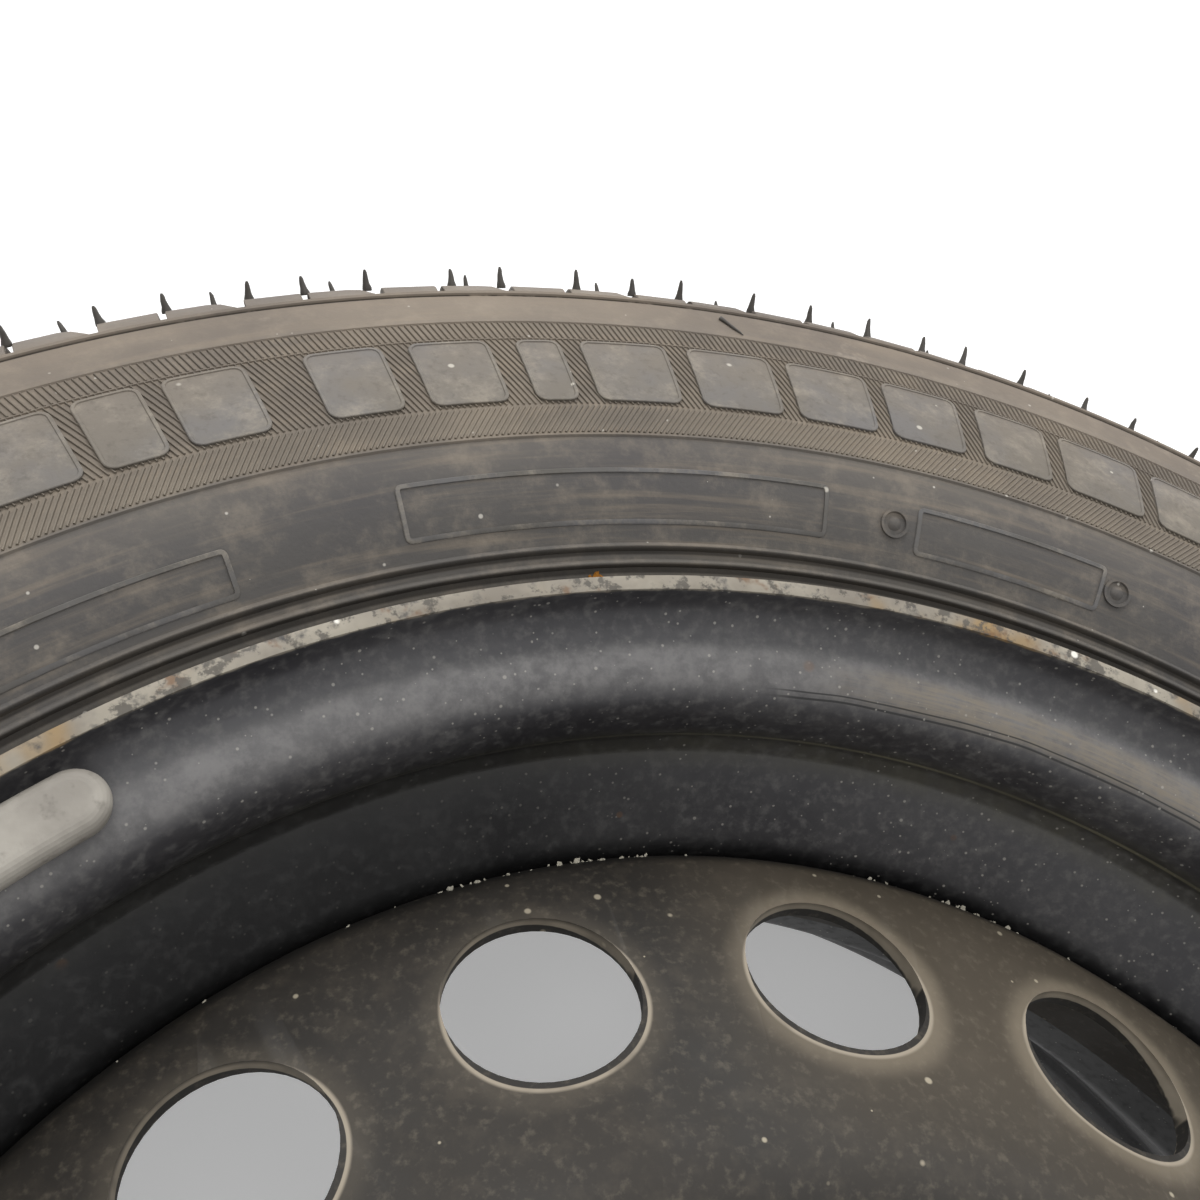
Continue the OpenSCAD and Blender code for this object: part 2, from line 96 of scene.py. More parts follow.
room = bpy.data.worlds.new("room")
room.use_nodes = True
bpy.context.scene.world = room
room_nodes, room_links = room.node_tree.nodes, room.node_tree.links
room_light = 0.50
strength = room_nodes.new("ShaderNodeMapRange")
strength.inputs["To Min"].default_value = room_light
strength.inputs["To Max"].default_value = 1.0
room_links.new(seen_directly(room_nodes, room_links), strength.inputs["Value"])
room_links.new(strength.outputs[0], room_nodes["Background"].inputs["Strength"])
room_nodes["Background"].inputs["Color"].default_value = (1.0, 1.0, 1.0, 1.0)

floor_height = cad_box[0][2]
bpy.ops.mesh.primitive_plane_add(size=12.0, location=(0.0, 0.0, floor_height))
floor = bpy.context.object
floor.name = "floor"
floor_paint = bpy.data.materials.new("floor_paint")
floor_paint.use_nodes = True
floor_nodes, floor_links = floor_paint.node_tree.nodes, floor_paint.node_tree.links
floor_nodes.remove(floor_nodes["Principled BSDF"])
matt = floor_nodes.new("ShaderNodeBsdfDiffuse")
matt.inputs["Color"].default_value = (0.82, 0.82, 0.82, 1.0)
glow = floor_nodes.new("ShaderNodeEmission")
floor_glow = 0.34
lift = floor_nodes.new("ShaderNodeMath")
lift.operation = "MULTIPLY"
lift.inputs[1].default_value = floor_glow
floor_links.new(seen_directly(floor_nodes, floor_links), lift.inputs[0])
floor_links.new(lift.outputs[0], glow.inputs["Strength"])
together = floor_nodes.new("ShaderNodeAddShader")
floor_links.new(matt.outputs[0], together.inputs[0])
floor_links.new(glow.outputs[0], together.inputs[1])
floor_links.new(together.outputs[0], floor_nodes["Material Output"].inputs["Surface"])
floor.data.materials.append(floor_paint)


def add_lamp(name, place, aim, width, watts):
    """A square soft lamp at a place, facing a point."""
    lamp = bpy.data.lights.new(name, "AREA")
    lamp.size = width
    lamp.energy = watts
    holder = bpy.data.objects.new(name, lamp)
    bpy.context.scene.collection.objects.link(holder)
    holder.location = place
    holder.rotation_euler = (Vector(aim) - Vector(place)).to_track_quat("-Z", "Y").to_euler()


add_lamp("lamp_beyond_tread", (-0.3, 2.0, 1.7), (0.0, 0.2, 0.0), 1.6, 44.0)
add_lamp("lamp_overhead", (-0.2, -0.2, 2.2), (0.0, 0.1, 0.0), 1.2, 12.0)
add_lamp("lamp_right", (1.6, 0.7, 1.5), (0.1, 0.2, 0.0), 1.0, 9.0)

# Rim
# The rim is one band of 2.8 mm sheet steel, rolled to flanges, bead seats, humps and a drop well,
# butt welded into a ring and dipped in black paint. Its outboard lip is worn to the primer.
MM = 0.001
middle = -39.0          # height of the rim's middle plane over the hub face, in mm
round_steps = 256


def clear_selection():
    """Leaves nothing selected and nothing open."""
    if bpy.context.object and bpy.context.object.mode == "EDIT":
        bpy.ops.object.mode_set(mode="OBJECT")
    bpy.ops.object.select_all(action="DESELECT")


def work_on(piece):
    """Makes one piece the only selected and active one."""
    clear_selection()
    piece.select_set(True)
    bpy.context.view_layer.objects.active = piece


def edit(piece):
    """Opens a piece in edit mode with nothing selected."""
    work_on(piece)
    bpy.ops.object.mode_set(mode="EDIT")
    bpy.ops.mesh.select_mode(type="VERT")
    bpy.ops.mesh.select_all(action="DESELECT")


def done():
    """Closes edit mode."""
    bpy.ops.object.mode_set(mode="OBJECT")


def choose(piece, part, test):
    """In edit mode, selects the vertices, edges or faces that pass a test."""
    mesh = bmesh.from_edit_mesh(piece.data)
    bpy.ops.mesh.select_mode(type={"verts": "VERT", "edges": "EDGE", "faces": "FACE"}[part])
    for item in getattr(mesh, part):
        item.select_set(bool(test(item)))
    mesh.select_flush_mode()
    bmesh.update_edit_mesh(piece.data)


def at(radius, height):
    """A point of a section, from mm over the rim's middle plane to metres in the wheel's frame."""
    return Vector((radius * MM, 0.0, (height + middle) * MM))


def face_outwards():
    """In edit mode, turns all faces outwards."""
    bpy.ops.mesh.select_all(action="SELECT")
    bpy.ops.mesh.normals_make_consistent(inside=False)


def section_line(name, corners, bend_parts=5, closed=False):
    """A section drawn as one line through [radius, height, rounding] corners in mm."""
    clear_selection()
    bpy.ops.mesh.primitive_plane_add(size=0.001)
    line = bpy.context.object
    line.name = name
    bpy.ops.object.mode_set(mode="EDIT")
    bpy.ops.mesh.select_mode(type="VERT")
    bpy.ops.mesh.select_all(action="SELECT")
    bpy.ops.mesh.merge(type="CENTER")
    corners = [tuple(c) + (0,) * (3 - len(c)) for c in corners]
    here = at(*corners[0][:2])
    bpy.ops.transform.translate(value=here)
    for corner in corners[1:]:
        there = at(*corner[:2])
        bpy.ops.mesh.extrude_region_move(TRANSFORM_OT_translate={"value": there - here})
        here = there
    if closed:
        bpy.ops.mesh.extrude_region_move(
            TRANSFORM_OT_translate={"value": at(*corners[0][:2]) - here})
        bpy.ops.mesh.select_all(action="SELECT")
        bpy.ops.mesh.remove_doubles(threshold=2e-6)
    count = len(corners)
    for i, (radius, height, rounding) in enumerate(corners):
        if not rounding or (not closed and i in (0, count - 1)):
            continue
        corner = Vector((radius, height))
        before = Vector(corners[i - 1][:2]) - corner
        after = Vector(corners[(i + 1) % count][:2]) - corner
        half = before.angle(after) / 2
        spot = at(radius, height)
        choose(line, "verts", lambda v: (v.co - spot).length < 3e-6)
        bpy.ops.mesh.bevel(offset=rounding * MM / math.tan(half), segments=bend_parts,
                           affect="VERTICES")
    done()
    return line


def spin_round(piece, angle=360.0, steps=round_steps, start=0.0):
    """Sweeps a section round the axle line from a start angle, closed where it goes all the way."""
    edit(piece)
    bpy.ops.mesh.select_all(action="SELECT")
    if angle < 360:
        mesh = bmesh.from_edit_mesh(piece.data)
        bmesh.ops.rotate(mesh, verts=mesh.verts, cent=(0, 0, 0),
                         matrix=Matrix.Rotation(math.radians(start + angle), 3, "Z"))
        bmesh.update_edit_mesh(piece.data)
    bpy.ops.mesh.spin(steps=steps, angle=math.radians(angle), center=(0, 0, 0), axis=(0, 0, 1))
    bpy.ops.mesh.select_all(action="SELECT")
    bpy.ops.mesh.remove_doubles(threshold=2e-6)
    if angle < 360:
        bpy.ops.mesh.select_all(action="DESELECT")
        bpy.ops.mesh.select_mode(type="EDGE")
        bpy.ops.mesh.select_non_manifold()
        bpy.ops.mesh.fill_holes(sides=0)
    face_outwards()
    done()


def modify(piece, kind, **settings):
    """Adds a modifier and applies it."""
    work_on(piece)
    modifier = piece.modifiers.new(kind.lower(), kind)
    for key, value in settings.items():
        setattr(modifier, key, value)
    bpy.ops.object.modifier_apply(modifier=modifier.name)


def cut(piece, cutters):
    """Takes the cutters' shapes out of a piece and removes them."""
    for cutter in cutters:
        modify(piece, "BOOLEAN", object=cutter, operation="DIFFERENCE", solver="EXACT")
        bpy.data.objects.remove(cutter)


def shade(piece, degrees=35.0):
    """Smooth shading up to an edge angle."""
    work_on(piece)
    bpy.ops.object.shade_smooth_by_angle(angle=math.radians(degrees))


def dress(piece, finish):
    """Gives a piece its finish."""
    piece.data.materials.clear()
    piece.data.materials.append(finish)


def finish_piece(piece, finish, slot, body, *replaced):
    """Gives a piece its finish, hangs it under its body and hides the CAD solids that it stands for. The
    slot is not used.
    """
    dress(piece, finish)
    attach(piece, body)
    if replaced:
        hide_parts(*replaced)


class Finish:
    """One procedural material, with the wheel's own coordinates at hand."""

    def __init__(self, name, metallic=0.0, specular=0.5):
        self.material = bpy.data.materials.new(name)
        self.material.use_nodes = True
        tree = self.material.node_tree
        self.nodes, self.links = tree.nodes, tree.links
        self.shader = tree.nodes["Principled BSDF"]
        self.shader.inputs["Metallic"].default_value = metallic
        self.shader.inputs["Specular IOR Level"].default_value = specular
        self.place = self.nodes.new("ShaderNodeTexCoord").outputs["Object"]
        split = self.nodes.new("ShaderNodeSeparateXYZ")
        self.links.new(self.place, split.inputs[0])
        self.x, self.y, self.z = split.outputs
        square = self.sum("MULTIPLY_ADD", self.x, self.x, self.product(self.y, self.y))
        length = self.sum("SQRT", square)
        self.cos = self.sum("DIVIDE", self.x, length)
        self.sin = self.sum("DIVIDE", self.y, length)
        self.radius = self.product(length, 1000.0)
        self.height = self.sum("MULTIPLY_ADD", self.z, 1000.0, -middle)

    def set(self, socket, value):
        """Links another node's output to a socket, or writes a plain value there."""
        if isinstance(value, bpy.types.NodeSocket):
            self.links.new(value, socket)
        else:
            socket.default_value = value

    def sum(self, operation, a, b=0.0, c=0.0):
        """One step of arithmetic on values."""
        node = self.nodes.new("ShaderNodeMath")
        node.operation = operation
        for socket, value in zip(node.inputs, (a, b, c)):
            self.set(socket, value)
        return node.outputs[0]

    def product(self, first, *others):
        """Values multiplied one after the other."""
        for other in others:
            first = self.sum("MULTIPLY", first, other)
        return first

    def fade(self, value, start, end, low=0.0, high=1.0):
        """Goes smoothly from low to high while value goes from start to end."""
        node = self.nodes.new("ShaderNodeMapRange")
        node.interpolation_type = "SMOOTHSTEP"
        for key, setting in zip(("Value", "From Min", "From Max", "To Min", "To Max"),
                                (value, start, end, low, high)):
            self.set(node.inputs[key], setting)
        return node.outputs[0]

    def band(self, value, start, end, soft):
        """1 between start and end, fading to 0 over soft on both sides."""
        return self.product(self.fade(value, start - soft, start),
                        self.fade(value, end, end + soft, 1.0, 0.0))

    def toward(self, degrees, half, soft):
        """1 within half an angle of a direction from the axle line, fading over soft degrees."""
        a = math.radians(degrees)
        dot = self.sum("MULTIPLY_ADD", self.cos, math.cos(a),
                       self.product(self.sin, math.sin(a)))
        return self.fade(dot, math.cos(math.radians(half + soft)), math.cos(math.radians(half)))

    def vector(self, x, y, z):
        """Three values as one set of coordinates."""
        node = self.nodes.new("ShaderNodeCombineXYZ")
        for socket, value in zip(node.inputs, (x, y, z)):
            self.set(socket, value)
        return node.outputs[0]

    def round_vector(self, along, across):
        """Seamless coordinates with their own scale along the turn and across it."""
        return self.vector(self.product(self.cos, along),
                           self.product(self.sin, along),
                           self.product(self.sum("ADD", self.radius, self.height), across))

    def noise(self, scale, detail=3.0, roughness=0.55, vector=None):
        """Cloudy pattern, finer with a larger scale."""
        node = self.nodes.new("ShaderNodeTexNoise")
        self.links.new(vector or self.place, node.inputs["Vector"])
        node.inputs["Scale"].default_value = scale
        node.inputs["Detail"].default_value = detail
        node.inputs["Roughness"].default_value = roughness
        return node.outputs[0]

    def specks(self, scale, size, share, vector=None):
        """Scattered specks: size as a share of a cell, in a share of all cells."""
        node = self.nodes.new("ShaderNodeTexVoronoi")
        self.links.new(vector or self.place, node.inputs["Vector"])
        node.inputs["Scale"].default_value = scale
        picked = self.nodes.new("ShaderNodeSeparateColor")
        self.links.new(node.outputs["Color"], picked.inputs[0])
        chosen = self.sum("LESS_THAN", picked.outputs[0], share)
        spread = self.product(picked.outputs[1], size)
        spot = self.nodes.new("ShaderNodeMapRange")
        for key, setting in zip(("Value", "From Min", "From Max", "To Min", "To Max"),
                                (node.outputs["Distance"], self.product(spread, 0.6), spread,
                                 1.0, 0.0)):
            self.set(spot.inputs[key], setting)
        return self.product(chosen, spot.outputs[0])

    def blend(self, share, under, over):
        """One colour laid over another in a share."""
        node = self.nodes.new("ShaderNodeMix")
        node.data_type = "RGBA"
        self.set(node.inputs[0], share)
        self.set(node.inputs[6], colour(under) if isinstance(under, str) else under)
        self.set(node.inputs[7], colour(over) if isinstance(over, str) else over)
        return node.outputs[2]

    def steps(self, value, start, end, stops):
        """Colours by value: stops are [value, colour] between start and end."""
        share = self.fade(value, start, end)
        share.node.interpolation_type = "LINEAR"
        node = self.nodes.new("ShaderNodeValToRGB")
        self.links.new(share, node.inputs[0])
        ramp = node.color_ramp
        while len(ramp.elements) < len(stops):
            ramp.elements.new(0.5)
        for element, (stop, code) in zip(ramp.elements, stops):
            element.position = (stop - start) / (end - start)
            element.color = colour(code)
        return node.outputs[0]

    def close(self, base, rough, bump=None, depth=0.0002, strength=0.5):
        """Sets colour, roughness and bump, and gives the finished material."""
        self.set(self.shader.inputs["Base Color"], colour(base) if isinstance(base, str) else base)
        self.set(self.shader.inputs["Roughness"], rough)
        if bump is not None:
            node = self.nodes.new("ShaderNodeBump")
            node.inputs["Strength"].default_value = strength
            node.inputs["Distance"].default_value = depth
            self.links.new(bump, node.inputs["Height"])
            self.links.new(node.outputs[0], self.shader.inputs["Normal"])
        return self.material


flange_side = [(206.0, 75.2), (206.0, 64.9, 8.1), (188.7, 64.9, 7.9), (187.67, 51.7, 4.0),
               (188.8, 47.5, 3.5), (186.93, 43.3, 4.0)]
well_side = [(171.2, 27.5, 8.0)]
rim_corners = flange_side + well_side + [(171.2, -15.0, 8.0)] + [
    (c[0], -c[1], *c[2:]) for c in reversed(flange_side)]
rim_sheet = 2.8
rim = section_line("rim_band", rim_corners)
spin_round(rim)
modify(rim, "SOLIDIFY", thickness=rim_sheet * MM, offset=0.0, use_even_offset=True)
valve_point = Vector((-61.244, -168.267, -3.6)) * MM
valve_axis = Vector((0.242359, 0.665876, 0.7056))
valve_hole_radius = 5.75
clear_selection()
bpy.ops.mesh.primitive_cylinder_add(
    vertices=32, radius=valve_hole_radius * MM, depth=16 * MM, location=valve_point,
    rotation=valve_axis.to_track_quat("Z", "Y").to_euler())
cut(rim, [bpy.context.object])
modify(rim, "BEVEL", width=0.55 * MM, segments=2, limit_method="ANGLE",
       angle_limit=math.radians(60))
shade(rim, 40)

paint = Finish("black_dip_paint", specular=0.5)
cloud = paint.noise(24, 4, 0.6)
grain = paint.noise(420, 3, 0.6)
dust = paint.fade(paint.noise(330, 6, 0.75), 0.42, 0.72)
fine_dust = paint.fade(grain, 0.45, 0.8)
tint = paint.blend(paint.fade(cloud, 0.35, 0.65), "2c2b2e", "39383a")
tint = paint.blend(paint.product(dust, 0.30, paint.fade(cloud, 0.3, 0.7)), tint, "6f6c69")
tint = paint.blend(paint.product(fine_dust, 0.26), tint, "8a8884")
# A pale band painted below the flange curl stands in for the sheen of light on that bend: a painted
# highlight.
painted_sheen = paint.product(paint.band(paint.radius, 191.5, 196.0, 3.5), paint.fade(paint.height, 60.0, 63.5))
painted_sheen = paint.product(painted_sheen, paint.fade(paint.noise(210, 5, 0.7), 0.3, 0.7, 0.35, 0.85))
tint = paint.blend(painted_sheen, tint, "737170")
olive = paint.band(paint.height, 44.5, 50.8, 4.0)
olive = paint.product(olive, paint.fade(paint.noise(120, 4, 0.7), 0.3, 0.7, 0.35, 0.75))
tint = paint.blend(olive, tint, "45433a")
# A thin pale line along the hump's edge is a painted highlight where the fillet catches light.
painted_hump_highlight = paint.product(paint.band(paint.height, 49.3, 50.3, 0.5),
                          paint.fade(paint.noise(30), 0.3, 0.7, 0.45, 0.95))
tint = paint.blend(painted_hump_highlight, tint, "7f7b66")
# Near black towards the well's corner by the disc is painted shade in the crevice.
painted_well_shade = paint.fade(paint.height, 34.0, 27.5)
inner_side = paint.fade(paint.radius, 178.0, 172.0)
tint = paint.blend(paint.product(painted_well_shade, inner_side, 0.85), tint, "0b0b0b")
scrape = paint.product(paint.toward(64, 17, 10), paint.band(paint.radius, 191.2, 194.6, 2.6))
scrape = paint.product(scrape, paint.fade(paint.height, 62.0, 63.5))
drag = paint.noise(1.0, 4, 0.7, paint.round_vector(14, 1.6))
drag = paint.sum("MULTIPLY_ADD", drag, 0.6, paint.product(paint.noise(230, 4, 0.7), 0.4))
scrape = paint.product(scrape, paint.fade(drag, 0.34, 0.62))
tint = paint.blend(scrape, tint, "7d7569")
wander = paint.sum("MULTIPLY_ADD", paint.noise(26, 2), 2.2, -1.1)
lined = paint.sum("ADD", paint.radius, wander)
for line_r, half in ((189.7, 0.10), (190.6, 0.05)):
    scratch = paint.product(paint.band(lined, line_r - half, line_r + half, 0.12),
                            paint.toward(76, 14, 3))
    scratch = paint.product(scratch, paint.fade(paint.height, 60.0, 62.0))
    tint = paint.blend(paint.product(scratch, 0.9), tint, "0a0a0a")
for scale, size, share in ((480, 0.22, 0.12), (1100, 0.4, 0.14)):
    tint = paint.blend(paint.product(paint.specks(scale, size, share), 0.55), tint, "a8a49c")
shaded = paint.product(paint.toward(138, 22, 30), paint.fade(paint.height, 62.0, 46.0))
tint = paint.blend(paint.product(shaded, 0.85), tint, "131313")
rust_spots = paint.product(paint.specks(210, 0.34, 0.05), paint.fade(cloud, 0.5, 0.7))
tint = paint.blend(paint.product(rust_spots, 0.7), tint, "6b4a2a")
lip_edge = paint.sum("ADD", paint.height, paint.sum("MULTIPLY_ADD", paint.noise(180, 3), 2.0, -1.0))
lip = paint.product(paint.fade(lip_edge, 74.3, 75.0), paint.fade(paint.radius, 203.8, 204.6))
worn = paint.blend(paint.fade(paint.noise(60, 4, 0.6), 0.35, 0.65), "9b9486", "7f786d")
worn = paint.blend(paint.fade(paint.noise(35, 3), 0.50, 0.62), worn, "8f7752")
worn = paint.blend(paint.fade(paint.noise(90, 4, 0.65), 0.56, 0.66, 0.0, 0.75), worn, "6a4a2e")
worn = paint.blend(paint.fade(paint.noise(320, 4, 0.65), 0.52, 0.62, 0.0, 0.85), worn, "4c4842")
worn = paint.blend(paint.specks(420, 0.4, 0.08), worn, "e6e2d8")
tint = paint.blend(paint.product(lip, paint.fade(paint.noise(240, 4), 0.25, 0.45)), tint, worn)
rough = paint.sum("ADD", paint.fade(cloud, 0.3, 0.7, 0.36, 0.48), paint.product(fine_dust, 0.2))
rough = paint.sum("ADD", rough, paint.product(paint.sum("MAXIMUM", lip, scrape), 0.3))
black_paint = paint.close(tint, rough, paint.sum("ADD", grain, cloud), 0.00008, 0.35)
finish_piece(rim, black_paint, "painted_steel", "wheel", "rim")

# Disc
# The disc is pressed from 3.5 mm sheet: a flat hub ring with a turned-out bore lip, a crown, and a
# sloping ring with 16 punched vents. Its edge is pressed into the rim's well. The paint is dusty.
def join(name, parts):
    """Makes one object of several pieces."""
    clear_selection()
    for part in parts:
        part.select_set(True)
    bpy.context.view_layer.objects.active = parts[0]
    if len(parts) > 1:
        bpy.ops.object.join()
    whole = bpy.context.object
    whole.name = name
    return whole


def turned(degrees):
    """A turn about the axle line."""
    return Matrix.Rotation(math.radians(degrees), 4, "Z")


disc_t = 3.5
vent_count = 16
vent_turn = 18.5
vent_radius = 142.8
vent_slope = 30.0
hub_height = 40.75
bore_radius = 27.05
disc = section_line("disc_pressing", [
    (168.03, 4.1), (168.03, 29.1, 6.2), (104.0, 66.07, 16.0), (84.0, hub_height, 8.0),
    (bore_radius, hub_height)])
spin_round(disc)
modify(disc, "SOLIDIFY", thickness=disc_t * MM, offset=0.0, use_even_offset=True)
bore_lip = section_line("bore_lip", [
    (bore_radius, 39.4), (31.5, 39.4), (32.6, 42.2), (30.6, 44.4, 1.2), (30.25, 48.0, 0.9),
    (bore_radius, 48.0, 0.4)], bend_parts=2, closed=True)
spin_round(bore_lip, steps=128)
modify(disc, "BOOLEAN", object=bore_lip, operation="UNION", solver="EXACT")
bpy.data.objects.remove(bore_lip)
bolt_radius = 50.0
bolt_turns = [0, 90, 180, 270]
boss_foot, boss_top, boss_depth, boss_middle = 15.8, 12.5, 3.1, 4.55
for turn in bolt_turns:
    boss_at = Vector((bolt_radius * MM, 0.0, boss_middle * MM))
    clear_selection()
    bpy.ops.mesh.primitive_cone_add(
        vertices=48, radius1=boss_foot * MM, radius2=boss_top * MM, depth=boss_depth * MM,
        location=turned(turn) @ boss_at)
    boss = bpy.context.object
    modify(disc, "BOOLEAN", object=boss, operation="UNION", solver="EXACT")
    bpy.data.objects.remove(boss)
vent_hole_radius, vent_height = 17.5, 43.67
punches, drills, sinkers = [], [], []
for i in range(vent_count):
    turn = turned(vent_turn + i * 360 / vent_count)
    tilt = Matrix.Rotation(math.radians(vent_slope), 4, "Y")
    clear_selection()
    bpy.ops.mesh.primitive_cylinder_add(vertices=48, radius=vent_hole_radius * MM, depth=24 * MM)
    punch = bpy.context.object
    punch.matrix_world = turn @ Matrix.Translation(at(vent_radius, vent_height)) @ tilt
    punches.append(punch)
bolt_hole_radius = 7.5
seat_depth, seat_top, seat_radius = 6.06, 6.12, 11.0
for turn in bolt_turns:
    hole_at = turned(turn) @ Vector((bolt_radius * MM, 0.0, 0.0))
    clear_selection()
    bpy.ops.mesh.primitive_cylinder_add(
        vertices=48, radius=bolt_hole_radius * MM, depth=30 * MM, location=hole_at)
    drills.append(bpy.context.object)
    clear_selection()
    bpy.ops.mesh.primitive_cone_add(
        vertices=48, radius1=7.45 * MM, radius2=seat_radius * MM, depth=seat_depth * MM,
        location=hole_at + Vector((0, 0, (seat_top - seat_depth / 2) * MM)))
    sinkers.append(bpy.context.object)
for cutters in (punches, drills, sinkers):
    cut(disc, [join("cutters", cutters)])
modify(disc, "BEVEL", width=0.5 * MM, segments=2, limit_method="ANGLE",
       angle_limit=math.radians(38))
shade(disc, 40)

dusty = Finish("dusty_black_paint", specular=0.4)
cloud = dusty.noise(22, 4, 0.6)
grain = dusty.noise(520, 3, 0.6)
tint = dusty.blend(dusty.fade(cloud, 0.35, 0.68), "201d19", "2b2722")
side = dusty.product(dusty.toward(72, 12, 16), dusty.fade(dusty.radius, 100.0, 135.0))
tint = dusty.blend(dusty.product(side, 0.7), tint, "4f473b")
blotches = dusty.fade(dusty.noise(170, 4, 0.65), 0.45, 0.72)
tint = dusty.blend(dusty.product(blotches, 0.2), tint, "5a5246")
angle = dusty.sum("ARCTAN2", dusty.y, dusty.x)
sector = dusty.sum("MULTIPLY_ADD", angle, vent_count / (2 * math.pi), -vent_turn * vent_count / 360)
off = dusty.sum("SUBTRACT", sector, dusty.sum("ROUND", sector))
aside = dusty.product(off, 2 * math.pi / vent_count, dusty.radius)
away = dusty.sum("DIVIDE", dusty.sum("SUBTRACT", dusty.radius, vent_radius),
                 math.cos(math.radians(vent_slope)))
reach = dusty.sum("SQRT", dusty.sum("MULTIPLY_ADD", aside, aside, dusty.product(away, away)))
ragged = dusty.sum("MULTIPLY_ADD", dusty.noise(90, 3), 3.0, -1.5)
near_vent = dusty.fade(dusty.sum("ADD", reach, ragged), 23.5, 18.6)
near_vent = dusty.product(near_vent, dusty.sum("MULTIPLY_ADD", side, 0.5, 0.15))
tint = dusty.blend(near_vent, tint, "7d7363")
vent_lip = dusty.product(dusty.fade(reach, 18.6, 17.9),
                         dusty.fade(dusty.noise(70, 3), 0.3, 0.5, 0.45, 1.0))
tint = dusty.blend(vent_lip, tint, "9a9080")
inside_hole = dusty.fade(reach, 17.62, 17.5)
tint = dusty.blend(inside_hole, tint, "24211d")
tint = dusty.blend(dusty.product(dusty.fade(grain, 0.5, 0.8), 0.22), tint, "857c6c")
tint = dusty.blend(dusty.product(dusty.specks(300, 0.25, 0.10), 0.75), tint, "b3a994")
# Near black at the disc's edge, where it goes into the rim's well, is painted shade.
painted_edge_shade = dusty.fade(dusty.radius, 166.5, 169.0)
tint = dusty.blend(dusty.product(painted_edge_shade, 0.8), tint, "14120f")
dusty_paint = dusty.close(tint, dusty.fade(cloud, 0.3, 0.7, 0.55, 0.72), grain, 0.0001, 0.4)
finish_piece(disc, dusty_paint, "painted_steel", "wheel", "wheel_disc")

# Welds
# Eight fillet beads of weld metal join the disc's inboard edge to the rim's well. They are laid with
# a torch and go under the same paint.
welds = Finish("painted_weld", specular=0.45)
ripple = welds.noise(1.0, 2, 0.5, welds.round_vector(420, 0.6))
tint = welds.blend(welds.fade(ripple, 0.35, 0.65), "232325", "45443f")
tint = welds.blend(welds.product(welds.fade(welds.noise(190, 3), 0.55, 0.7), 0.7), tint, "6a4a2c")
dress(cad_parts["disc_welds"], welds.close(tint, 0.55, ripple, 0.0006, 0.9))

# Tyre body
# The tyre is one moulded piece of black rubber over steel belts. Its body is turned from one closed
# section: tread base, shoulder, sidewall with its mould lines, two rings over the bead, and the liner.
tyre_radius = 297.55
crown_radius = 320.0
mould_line = (277.75, 69.0)
widest = (235.96, 80.8)
bead_out = (215.4, 75.0)
slope_end = (208.6, 71.5)
rubber_steps = 288


def crown(height, top=tyre_radius):
    """Radius of the tread's crown at a height over the middle plane."""
    return top - crown_radius + math.sqrt(crown_radius ** 2 - height ** 2)


def curve_at(a, b, c, d, t):
    """The point at a share t of a smooth curve from a to d, pulled by b and c."""
    s = 1 - t
    return tuple(s ** 3 * a[i] + 3 * s * s * t * b[i] + 3 * s * t * t * c[i] + t ** 3 * d[i]
                 for i in (0, 1))


def curve(a, b, c, d, parts):
    """Points of a smooth curve from a to d, without its first point."""
    return [curve_at(a, b, c, d, i / parts) for i in range(1, parts + 1)]


def plus(point, step):
    """A point of the section moved by a step."""
    return (point[0] + step[0], point[1] + step[1])


upper_wall = (mould_line, plus(mould_line, (-14.8, 4.9)), plus(widest, (12, -0.9)), widest)
lower_wall = (widest, plus(widest, (-9, 0.4)), plus(bead_out, (5, 2.6)), bead_out)


def wall_height(radius):
    """Height of the sidewall's surface at a radius."""
    path = upper_wall if radius > widest[0] else lower_wall
    low, high = 0.0, 1.0
    for _ in range(40):
        t = (low + high) / 2
        if curve_at(*path, t)[0] > radius:
            low = t
        else:
            high = t
    return curve_at(*path, low)[1]


slope = Vector(slope_end) - Vector(bead_out)
slope.normalize()
slope_out = Vector((slope.y, -slope.x))
ring_height = 0.9


def ring_on_slope(step):
    """A raised ring on the slope over the bead."""
    ups = ((0.0, 0.0), (0.4, 0.85), (0.75, 1.0), (1.15, 0.85), (1.6, 0.0))
    return [tuple(Vector(bead_out) + slope * (step + along) + slope_out * ring_height * up)
            for along, up in ups]


wall_rings = ((234.3, 0.45, 0.45), (268.4, 0.5, 0.35), (262.2, 0.25, 0.3))
raised = []
for ring, half, up in wall_rings:
    for off_r, share in ((half, 0.0), (half * 0.4, 1.0), (-half * 0.4, 1.0), (-half, 0.0)):
        raised.append((ring + off_r, wall_height(ring + off_r) + up * share))
wall_points = [p for p in curve(*upper_wall, 16) + curve(*lower_wall, 12)
               if all(abs(p[0] - ring[0]) > 1.2 for ring in wall_rings)] + raised
wall_points.sort(key=lambda p: -p[0])
wall_points = [p for p in wall_points if p[0] > bead_out[0] + 0.2] + [bead_out]
tread_floor = [(crown(h, 290.75), h) for h in (0.0, 12.0, 24.0, 31.0)] + [
    (crown(36.0) - 6.0, 36.0), (crown(47.6) - 6.0, 47.6)]
mould_lip = [(279.7, 66.8), (279.5, 68.6), (279.1, 69.3), (278.5, 69.3), (278.1, 68.8), (277.7, 69.15)]
bead_seat = [(208.25, 70.8), (208.2, 68.0), (207.5, 64.8), (205.4, 63.1), (202.0, 63.35),
             (198.0, 63.3), (193.2, 63.0), (190.8, 61.0), (190.2, 57.5), (189.4, 48.5)]
liner = [(190.9, 47.3), (195.4, 48.4), (200.6, 51.0), (205.0, 56.5), (214.0, 65.0), (223.0, 74.0),
         (236.0, 75.3), (256.0, 75.3), (274.0, 66.0), (280.5, 57.0), (283.0, 47.0), (283.7, 24.0)]
